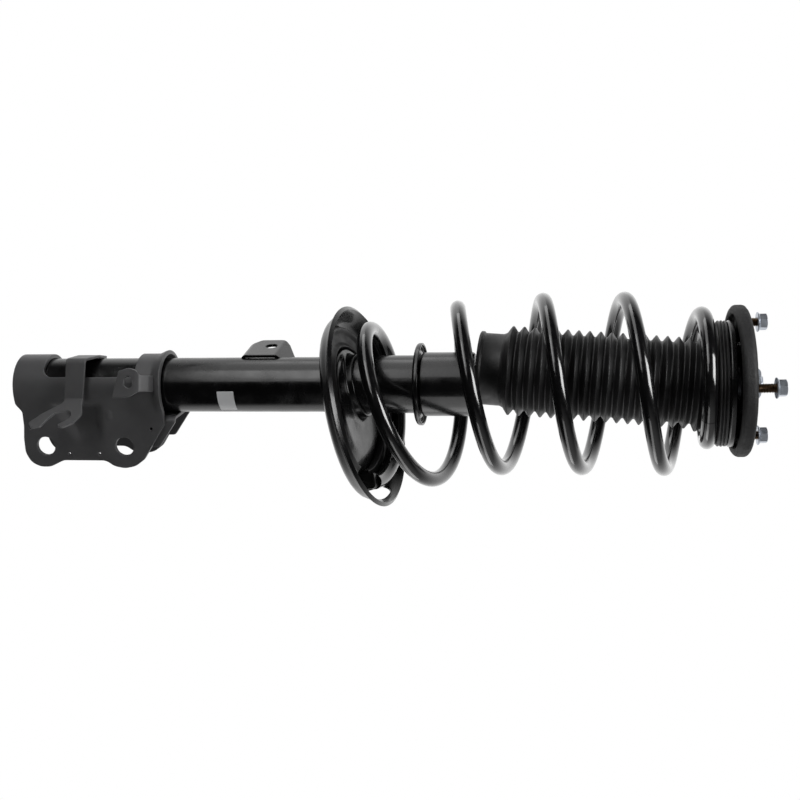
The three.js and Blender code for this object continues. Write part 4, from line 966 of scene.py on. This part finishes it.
def spring_point(turns):
    """Centre of the wire after a number of turns, in millimetres."""
    angle = math.pi + turns * 2 * math.pi
    r = SPRING_LOW_R + (SPRING_R - SPRING_LOW_R) * smoothstep(-0.1, 1, turns)
    r += (SPRING_TOP_R - r) * smoothstep(SPRING_TURNS - 1.5, SPRING_TURNS - 0.5, turns)
    settle = 1 - smoothstep(-0.2, 1.7, turns)
    x, y = r * np.cos(angle), r * np.sin(angle)
    wound = turns - SPRING_START
    lift = SPRING_LIFT * (1 - np.exp(-wound / SPRING_LIFT))
    below = SPRING_TOP_Z - (SPRING_LOW_Z + SPRING_PITCH * (wound - lift))
    z = SPRING_TOP_Z - SPRING_CLOSE * np.log(1 + np.exp(below / SPRING_CLOSE))
    z = z + settle * (SPRING_RISE_X * x + SPRING_RISE_Y * y)
    return np.column_stack([x + SEAT_PLACE[0] * settle, y, z])


def wire_tube():
    """Node group that wraps a line of edges in round wire, so that it stays round when the
    line's points move."""
    tree = bpy.data.node_groups.new("round_wire", "GeometryNodeTree")
    tree.interface.new_socket("Geometry", in_out="INPUT", socket_type="NodeSocketGeometry")
    tree.interface.new_socket("Geometry", in_out="OUTPUT", socket_type="NodeSocketGeometry")
    start = add(tree, "NodeGroupInput")
    line = add(tree, "GeometryNodeMeshToCurve", (), {"Mesh": start.outputs[0]})
    ring = add(tree, "GeometryNodeCurvePrimitiveCircle", {
        "Resolution": 28, "Radius": bpy.context.scene.strut_sizes.wire / 2})
    tube = add(tree, "GeometryNodeCurveToMesh", {"Fill Caps": True},
               {"Curve": line.outputs[0], "Profile Curve": ring.outputs[0]})
    soft = add(tree, "GeometryNodeSetShadeSmooth", (), {"Geometry": tube.outputs[0]})
    paint = add(tree, "GeometryNodeSetMaterial", {"Material": spring_powder()},
                {"Geometry": soft.outputs[0]})
    add(tree, "NodeGroupOutput", (), {0: paint.outputs[0]})
    return tree


def wire_piece(name, start, stop, body, nodes, finishes):
    count = max(8, int(abs(stop - start) * 72))
    turns = np.linspace(start, stop, count)
    points = spring_point(turns)
    mesh = bpy.data.meshes.new(name)
    mesh.from_pydata((points * MM).tolist(), [(k, k + 1) for k in range(count - 1)], [])
    mesh.materials.append(finishes["spring"])
    piece = bpy.data.objects.new(name, mesh)
    bpy.context.scene.collection.objects.link(piece)
    modifier = piece.modifiers.new("Round wire", "NODES")
    modifier.node_group = wire_tube()
    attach(piece, body)
    if nodes:
        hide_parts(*nodes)
    return piece


def make_spring(finishes):
    """Coil spring in three stretches: the seated end, the working coils that close up as the
    rod goes in, and the closed top coil that goes with the upper seat."""
    low_end, high_end = spring_point(np.array([SEATED_TURNS, CLOSED_TURNS])) * MM
    wire_piece("coil_spring_seated_end", SPRING_START, SEATED_TURNS, "strut_tube", [], finishes)
    working = wire_piece("coil_spring_working_coils", SEATED_TURNS, CLOSED_TURNS, "strut_tube",
                         ["coil_spring"], finishes)
    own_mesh(working)
    wire_piece("coil_spring_closed_coil", CLOSED_TURNS, SPRING_TURNS, "rod", [], finishes)


# ---------------------------------------------------------------- dust boot
BOOT_PIVOT_Z = 632.0


def boot_outline(wall):
    """Closed outline of the boot's wall: cuff with a bead, rounded folds, and top collar."""
    low, cuff_r, cuff = 440.3, 32.6, 24.0
    crest_r, root_r, pitch, folds = 41.2, 34.4, 9.75, 17
    top = 651.0
    outer = [(cuff_r - 1.6, low, 0.4), (cuff_r + 1.5, low, 1.2), (cuff_r + 1.5, low + 3.2, 1.2),
             (cuff_r, low + 4.4, 1), (cuff_r, low + cuff - 3, 2), (root_r - 0.4, low + cuff, 1.4)]
    for k in range(folds):
        crest = low + cuff + (k + 0.5) * pitch
        outer.append((crest_r, crest, 1.1))
        outer.append((root_r, crest + pitch / 2, 1.4))
    last = low + cuff + folds * pitch
    outer += [(crest_r + 1.8, last + 4.2, 1.4), (crest_r - 2, last + 10, 2),
              (crest_r - 2, top - 4, 1), (crest_r + 0.6, top - 3, 0.6), (crest_r + 0.6, top, 0.6)]
    inner = [(r - wall * 1.15, z, radius) for r, z, radius in outer[5:-2]]
    inner = [(cuff_r - wall - 0.3, low, 0.3), (cuff_r - wall - 0.3, low + cuff - 4, 2)] + inner
    inner.append((crest_r - 4, top, 0.6))
    return outer + list(reversed(inner))


def make_boot(finishes):
    size = bpy.context.scene.strut_sizes
    vertices, faces = turned(boot_outline(size.boot_wall / MM), size.segments, 4)
    pivot = Vector((0, 0, BOOT_PIVOT_Z))
    lean = Matrix.Translation(pivot) @ Matrix.Rotation(size.boot_lean, 4, "Y") \
        @ Matrix.Translation(-pivot)
    vertices = moved(vertices, lean)
    piece = finish_piece("dust_boot_bellows", vertices, faces, "boot", finishes["rubber"],
                         "boot_rubber", ["dust_boot"], 45)
    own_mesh(piece)


# ---------------------------------------------------------------- upper seat and mount
def make_upper_seat(finishes):
    count = bpy.context.scene.strut_sizes.segments
    r, low, high = span("upper_spring_insulator")
    inner = 44.5
    pad = turned([
        (inner, low, 1), (r - 1.6, low, 1.2), (r - 0.2, low + 1.2, 0.5), (r - 0.2, low + 2.4, 0.4),
        (r - 1.8, low + 2.9, 0.4), (r - 1.8, low + 3.4, 0.4), (r, low + 3.9, 0.5),
        (r, low + 5.2, 0.5), (r - 1.8, low + 5.7, 0.4), (r - 1.8, low + 6.2, 0.4),
        (r - 0.3, low + 6.7, 0.5), (r - 0.3, high, 0.5), (inner, high, 1)], count)
    weight_normals(finish_piece("upper_insulator_ring", *pad, "rod", finishes["rubber"],
                                "boot_rubber", ["upper_spring_insulator"]))
    r, _, high = span("upper_spring_seat")
    pad_high = span("upper_spring_insulator")[2]
    sheet, bore, hub_z = 2.5, 12, 655.2
    low = pad_high + 0.3
    cup = turned([
        (bore, hub_z, 0.8), (33, hub_z, 3), (36, low, 3), (r, low, 2.2), (r, high, 0.8),
        (r - sheet, high, 0.8), (r - sheet, low + sheet, 1), (37.5, low + sheet, 3),
        (32, hub_z + sheet, 3), (bore, hub_z + sheet, 0.8)], count)
    weight_normals(finish_piece("upper_seat_cup", *cup, "rod", finishes["gloss"],
                                "glossy_paint", ["upper_spring_seat"]))


MOUNT_TOP_Z = 676.0
MOUNT_RISE_X, MOUNT_RISE_Y = 0.02, -0.075
COVER_SHIFT_X, STUD_CENTRE_X, STUD_CIRCLE_R = -2.3, -1.15, 59
STUD_TURNS = [math.radians(-84 + 120 * k) for k in range(3)]
STUD_PLACES = [(STUD_CENTRE_X + STUD_CIRCLE_R * math.cos(turn), STUD_CIRCLE_R * math.sin(turn))
               for turn in STUD_TURNS]


def mount_frame():
    return tilted_frame(MOUNT_RISE_X, MOUNT_RISE_Y, (0, 0, MOUNT_TOP_Z))


def make_mount_cover(finishes):
    """Rough rubber-skinned disc with a deep rim, uneven as it leaves the mould."""
    r, plate = 67.0, 34.3
    thick, drop, rim = 6.0, 6.5, 8.0
    vertices, faces = turned([
        (plate, -thick, 0.6), (r - rim, -thick, 2.5), (r - rim, -thick - drop, 2),
        (r, -thick - drop, 4), (r, 0, 4.5), (plate + 6, 0, 3), (plate + 4, -1, 1),
        (plate, -1, 0.6)], 144, 6)
    turn = np.arctan2(vertices[:, 1], vertices[:, 0])
    near_edge = smoothstep(50, 66, np.hypot(vertices[:, 0], vertices[:, 1]))
    wave = 0.35 * np.sin(7 * turn + 0.6) + 0.2 * np.sin(17 * turn) + 0.15 * np.sin(31 * turn + 2)
    radial = np.column_stack([np.cos(turn), np.sin(turn), np.zeros(len(turn))])
    vertices = vertices - radial * (near_edge * (0.35 + 0.5 * wave))[:, None]
    vertices = moved(vertices + [COVER_SHIFT_X, 0, 0], mount_frame())
    piece = finish_piece("mount_cover_rubber", vertices, faces, "top_mount", finishes["rough"],
                         "mount_rubber", ["mount_cover"], 40)
    weight_normals(piece)


def make_mount_core(finishes):
    count = 72
    bush_r, plate_r, sleeve_r = 26.0, 34.0, 11.5
    plate = turned([(bush_r + 0.3, -6, 0.5), (plate_r, -6, 0.5), (plate_r, 2, 1.2),
                    (bush_r + 0.3, 2, 0.8)], count)
    finish_piece("mount_plate_ring", moved(plate[0], mount_frame()), plate[1], "top_mount",
                 finishes["steel"], "steel", ["mount_plate"])
    bush = turned([
        (sleeve_r + 3, -6.5, 0.8), (bush_r, -6.5, 0.8), (bush_r, 1, 1), (bush_r - 3, 2.4, 1.5),
        (bush_r - 8, 0.2, 3), (sleeve_r + 3, 1, 1)], count)
    finish_piece("mount_bush_rubber", moved(bush[0], mount_frame()), bush[1], "top_mount",
                 finishes["rough"], "mount_rubber", ["mount_bush"])
    _, low, high = span("mount_inner_sleeve")
    sleeve = turned([(7.3, low, 0.3), (sleeve_r, low, 0.6), (sleeve_r, high, 0.8),
                     (7.3, high, 0.4)], count)
    finish_piece("mount_sleeve_turned", *sleeve, "rod", finishes["steel"], "steel",
                 ["mount_inner_sleeve"])


def threaded(radius, low, high, pitch, segments=32):
    """Rod with a helical thread and a chamfered end."""
    depth = 0.61 * pitch
    rows = int((high - low) / pitch * 6)
    zs = np.linspace(low, high, rows + 1)
    turn = np.arange(segments) * 2 * math.pi / segments
    vertices = []
    for z in zs:
        phase = np.mod(z / pitch - turn / (2 * math.pi), 1)
        tooth = 1 - 2 * np.abs(phase - 0.5)
        r = radius - depth * np.clip(1.25 * tooth - 0.12, 0, 1)
        r = np.minimum(r, radius - max(0, z - (high - 1.1)))
        vertices.extend(around_z(r, turn, z).tolist())
    faces = ring_faces(rows + 1, segments)
    faces.append(list(reversed(range(segments))))
    faces.append([rows * segments + j for j in range(segments)])
    return np.array(vertices), faces


def hex_nut(across_flats, bore, low, high, flange_r=0.0):
    """Hexagon nut with chamfered corners and an optional round flange."""
    flange, segments = 2.0, 96
    turn = np.arange(segments) * 2 * math.pi / segments
    sector = np.mod(turn, math.pi / 3) - math.pi / 6
    hexagon = across_flats / 2 / np.cos(sector)
    corner = across_flats / math.sqrt(3)
    chamfer = (corner - across_flats / 2) * 0.62
    rings = []
    if flange_r:
        for r, z in ((flange_r - 0.3, low), (flange_r, low + 0.3), (flange_r, low + 0.9),
                     (flange_r - 0.4, low + 1.2), (across_flats / 2 + 1.2, low + flange)):
            rings.append((r, z))
        rings.append((hexagon, low + flange + 0.3))
    else:
        for step in (0, 0.5, 1):
            cone = across_flats / 2 + 0.2 + (corner - across_flats / 2) * step
            rings.append((np.minimum(hexagon, cone), low + chamfer * step))
    for step in np.linspace(1, 0, 7):
        cone = across_flats / 2 - 0.1 + (corner - across_flats / 2 + 0.1) * step
        rings.append((np.minimum(hexagon, cone), high - chamfer * step))
    rings += [(bore + 0.9, high), (bore, high - 0.9), (bore, low + 0.6), (bore + 0.6, low)]
    vertices = np.concatenate([around_z(r, turn, z) for r, z in rings])
    return vertices, ring_faces(len(rings), segments, closed=True)


def make_fasteners(finishes):
    """Studs with rolled thread and flange nuts, one of each at every place."""
    size = bpy.context.scene.strut_sizes
    for k, (x, y) in enumerate(STUD_PLACES):
        here = mount_frame() @ Matrix.Translation((x, y, 0))
        thread = threaded(radius=4.0, low=-5.0, high=22.0, pitch=size.stud_pitch / MM)
        finish_piece(f"stud_{k + 1}_threaded", moved(thread[0], here), thread[1], "top_mount",
                     finishes["yellow"], "yellow_zinc", [f"mount_stud_{k + 1}"], 60)
        head = turned([(0, -6), (6, -6, 0.5), (6, -3.7, 0.8), (0, -3.5)], 32)
        finish_piece(f"stud_{k + 1}_head", moved(head[0], here), head[1], "top_mount",
                     finishes["yellow"], "yellow_zinc", [])
        nut = hex_nut(across_flats=13.0, bore=4.15, low=14.5, high=23.1, flange_r=8.9)
        spin = here @ Matrix.Rotation(0.35 + k, 4, "Z")
        finish_piece(f"nut_{k + 1}_flanged", moved(nut[0], spin), nut[1], "top_mount",
                     finishes["zinc"], "bright_zinc", [f"flange_nut_{k + 1}"], 24)
    _, low, high = span("rod_nut")
    nut = hex_nut(across_flats=22.0, bore=7.2, low=low, high=high)
    finish_piece("rod_nut_hexagon", *nut, "rod", finishes["zinc"], "bright_zinc", ["rod_nut"],
                 24)


def make_rod(finishes):
    _, low, high = span("piston_rod")
    rod_r, spigot_r, end_r = 11, 6, 6.6
    spigot_z, shoulder_z, end_z = 390.3, 661, 668
    rod = turned([
        (0, low), (spigot_r, low, 0.6), (spigot_r, spigot_z, 0.2), (rod_r, spigot_z + 0.5, 0.8),
        (rod_r, shoulder_z, 0.8), (end_r, shoulder_z + 0.5, 0.3), (end_r, end_z, 0.2),
        (0, end_z)], 72)
    weight_normals(finish_piece("rod_ground", *rod, "rod", finishes["chrome"], "chromed_steel",
                                ["piston_rod"]))
    size = bpy.context.scene.strut_sizes
    thread = threaded(7.0, end_z - 2, high, size.rod_pitch / MM, 48)
    finish_piece("rod_end_threaded", *thread, "rod", finishes["zinc"], "chromed_steel", [], 60)


# ---------------------------------------------------------------- CAD pieces that stay
CAD_EDGE_ROUND, CAD_EDGE_ANGLE = 0.25, math.radians(40)


def dress_cad_nodes(finishes):
    """Gives the hidden CAD pieces their finish, with rounded edges."""
    kept = {
        "base_valve": "steel", "pressure_cylinder": "steel", "rod_guide": "steel",
        "oil_seal": "rubber", "piston": "steel", "piston_band": "nylon", "piston_nut": "steel",
        "rebound_stop": "rubber", "bump_stop": "foam", "bump_stop_cup": "steel",
        "bearing_lower_race": "steel", "bearing_upper_race": "steel",
        "bearing_ball_cage": "nylon",
    }
    for name, key in kept.items():
        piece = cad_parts[name]
        if not piece.data.materials:
            piece.data.materials.append(finishes[key])
        for slot in piece.material_slots:
            slot.material = finishes[key]
        modifier = piece.modifiers.new("Edge round", "BEVEL")
        modifier.width = CAD_EDGE_ROUND * MM
        modifier.segments = 2
        modifier.limit_method = "ANGLE"
        modifier.angle_limit = CAD_EDGE_ANGLE


# ---------------------------------------------------------------- stage
CAMERA_PLACE = Vector((0.0145, -1.150, 0.5715))
CAMERA_YAW = math.radians(10.05)
CAMERA_LENS = 57.15


def make_camera():
    """The strut lies across the view with its top mount to the right."""
    data = bpy.data.cameras.new("strut_camera")
    data.lens = CAMERA_LENS
    data.sensor_width = 36.0
    data.clip_start = 0.01
    data.clip_end = 50
    camera = bpy.data.objects.new("strut_camera", data)
    bpy.context.scene.collection.objects.link(camera)
    right = (0, math.sin(CAMERA_YAW), math.cos(CAMERA_YAW))
    back = (0, -math.cos(CAMERA_YAW), math.sin(CAMERA_YAW))
    camera.matrix_world = basis(right, (-1, 0, 0), back, CAMERA_PLACE)
    bpy.context.scene.camera = camera


def area_light(name, place, target, width, height, power):
    data = bpy.data.lights.new(name, "AREA")
    data.shape = "RECTANGLE"
    data.size, data.size_y = width, height
    data.energy = power
    light = bpy.data.objects.new(name, data)
    bpy.context.scene.collection.objects.link(light)
    light.location = place
    aim = Vector(target) - Vector(place)
    light.rotation_euler = aim.to_track_quat("-Z", "Y").to_euler()


def make_world():
    """White surroundings for the view, and for the light a dark side behind the camera."""
    world = bpy.data.worlds.new("white_studio")
    bpy.context.scene.world = world
    world.use_nodes = True
    tree = world.node_tree
    tree.nodes.clear()
    where = add(tree, "ShaderNodeTexCoord")
    parts = add(tree, "ShaderNodeSeparateXYZ", (), {0: where.outputs["Generated"]})
    back = spread(tree, parts.outputs["Y"], 0.0, 1.0, 0.15, 0.85)
    under = spread(tree, parts.outputs["X"], 0.0, 0.35, 0.35, 0.95)
    light = add(tree, "ShaderNodeMath", {"operation": "MAXIMUM"}, {0: back, 1: under})
    lit = add(tree, "ShaderNodeMath", {"operation": "MAXIMUM", 1: 0.015}, {0: light.outputs[0]})
    path = add(tree, "ShaderNodeLightPath")
    seen = add(tree, "ShaderNodeMath", {"operation": "MAXIMUM"},
               {0: lit.outputs[0], 1: path.outputs["Is Camera Ray"]})
    shine = add(tree, "ShaderNodeBackground", {"Color": (1, 1, 1, 1)},
                {"Strength": seen.outputs[0]})
    add(tree, "ShaderNodeOutputWorld", (), {"Surface": shine.outputs[0]})


def make_floor():
    """Plain pale floor, well below the foot, evenly bright."""
    mesh = bpy.data.meshes.new("studio_floor")
    reach, z = 9.0, -0.6
    mesh.from_pydata([(-reach, -reach, z), (reach, -reach, z), (reach, reach, z),
                      (-reach, reach, z)], [], [(0, 1, 2, 3)])
    floor = bpy.data.objects.new("studio_floor", mesh)
    bpy.context.scene.collection.objects.link(floor)
    material = bpy.data.materials.new("pale_floor_paper")
    material.use_nodes = True
    tree = material.node_tree
    shader = tree.nodes["Principled BSDF"]
    shader.inputs["Base Color"].default_value = (0, 0, 0, 1)
    shader.inputs["Specular IOR Level"].default_value = 0.0
    shader.inputs["Emission Color"].default_value = (1, 1, 1, 1)
    where = add(tree, "ShaderNodeTexCoord")
    parts = add(tree, "ShaderNodeSeparateXYZ", (), {0: where.outputs["Object"]})
    behind = spread(tree, parts.outputs["Y"], 0.01, 0.9, 0.0, 0.8)
    path = add(tree, "ShaderNodeLightPath")
    glow = add(tree, "ShaderNodeMath", {"operation": "MAXIMUM"},
               {0: behind, 1: path.outputs["Is Camera Ray"]})
    tree.links.new(glow.outputs[0], shader.inputs["Emission Strength"])
    mesh.materials.append(material)


# ---------------------------------------------------------------- operators
def finish_set():
    """Every finish by the short name that the makers use."""
    return {
        "gloss": stoved_enamel(), "satin": satin_electrocoat(),
        "spring": spring_powder(), "rubber": moulded_rubber(), "rough": rough_rubber(),
        "zinc": bright_zinc(), "yellow": yellow_zinc(), "steel": turned_steel(),
        "chrome": hard_chrome(), "foam": cellular_foam(), "nylon": filled_nylon(),
        "film": label_film(),
    }


class STRUT_OT_stage(bpy.types.Operator):
    """Add the camera, the lights, the surroundings and the floor"""

    bl_idname = "strut.stage"
    bl_label = "Stage"

    def execute(self, context):
        make_camera()
        make_world()
        make_floor()
        area_light("top_softbox", (-1.25, -0.5, 0.05), (0, 0, 0.1), 2.6, 0.7, 8)
        area_light("upper_fill", (-0.8, -1.1, -0.1), (0, 0, 0.05), 1.2, 0.4, 3)
        area_light("low_bounce", (1.1, -0.15, 0.35), (0, 0, 0.35), 1.6, 0.4, 3)
        area_light("end_light", (-0.2, -0.45, 1.3), (0, 0, 0.75), 0.5, 0.5, 7)
        area_light("foot_light", (-0.55, -0.35, -0.8), (0, 0, 0.06), 0.4, 0.4, 17)
        context.scene.view_settings.view_transform = "Standard"
        return {"FINISHED"}


class StrutStep:
    """Operator that runs the makers of one group of pieces."""

    makers = ()

    def execute(self, context):
        finishes = finish_set()
        for make in self.makers:
            make(finishes)
        return {"FINISHED"}


class STRUT_OT_damper(StrutStep, bpy.types.Operator):
    """Build the damper's tube, base cap, gland sleeve, stop plate, welds and label"""

    bl_idname = "strut.damper"
    bl_label = "Damper"
    makers = (make_damper, make_label)


class STRUT_OT_knuckle_bracket(StrutStep, bpy.types.Operator):
    """Build the knuckle bracket and its brace"""

    bl_idname = "strut.knuckle_bracket"
    bl_label = "Knuckle Bracket"
    makers = (make_knuckle_bracket, make_brace)


class STRUT_OT_small_brackets(StrutStep, bpy.types.Operator):
    """Build the hose, sensor and link brackets"""

    bl_idname = "strut.small_brackets"
    bl_label = "Small Brackets"
    makers = (make_hose_bracket, make_sensor_bracket, make_link_bracket)


class STRUT_OT_lower_seat(StrutStep, bpy.types.Operator):
    """Build the lower spring seat and its insulator"""

    bl_idname = "strut.lower_seat"
    bl_label = "Lower Spring Seat"
    makers = (make_lower_seat, make_lower_insulator)


class STRUT_OT_spring(StrutStep, bpy.types.Operator):
    """Build the coil spring"""

    bl_idname = "strut.spring"
    bl_label = "Coil Spring"
    makers = (make_spring,)


class STRUT_OT_boot(StrutStep, bpy.types.Operator):
    """Build the dust boot"""

    bl_idname = "strut.boot"
    bl_label = "Dust Boot"
    makers = (make_boot,)


class STRUT_OT_top_mount(StrutStep, bpy.types.Operator):
    """Build the upper spring seat, the top mount, the rod and the fasteners"""

    bl_idname = "strut.top_mount"
    bl_label = "Top Mount"
    makers = (make_upper_seat, make_mount_cover, make_mount_core, make_rod, make_fasteners)


class STRUT_OT_inner_pieces(StrutStep, bpy.types.Operator):
    """Give the hidden CAD pieces their finishes"""

    bl_idname = "strut.inner_pieces"
    bl_label = "Inner Pieces"
    makers = (dress_cad_nodes,)


STEPS = (
    STRUT_OT_stage, STRUT_OT_damper, STRUT_OT_knuckle_bracket, STRUT_OT_small_brackets,
    STRUT_OT_lower_seat, STRUT_OT_spring, STRUT_OT_boot, STRUT_OT_top_mount,
    STRUT_OT_inner_pieces,
)


class STRUT_PT_panel(bpy.types.Panel):
    """Lists the strut's steps and settings"""

    bl_label = "Strut Assembly"
    bl_idname = "STRUT_PT_panel"
    bl_space_type = "VIEW_3D"
    bl_region_type = "UI"
    bl_category = "Strut"

    def draw(self, context):
        for settings in (context.scene.strut_sizes, context.scene.strut_finishes):
            for key in settings.__annotations__:
                self.layout.prop(settings, key)
        for step in STEPS:
            self.layout.operator(step.bl_idname)


CLASSES = (StrutSizes, StrutFinishes, *STEPS, STRUT_PT_panel)


def register():
    for item in CLASSES:
        bpy.utils.register_class(item)
    bpy.types.Scene.strut_sizes = PointerProperty(type=StrutSizes)
    bpy.types.Scene.strut_finishes = PointerProperty(type=StrutFinishes)


def unregister():
    del bpy.types.Scene.strut_finishes
    del bpy.types.Scene.strut_sizes
    for item in reversed(CLASSES):
        bpy.utils.unregister_class(item)


def main():
    register()
    for step in STEPS:
        group, name = step.bl_idname.split(".")
        getattr(getattr(bpy.ops, group), name)()


if __name__ == "__main__":
    main()
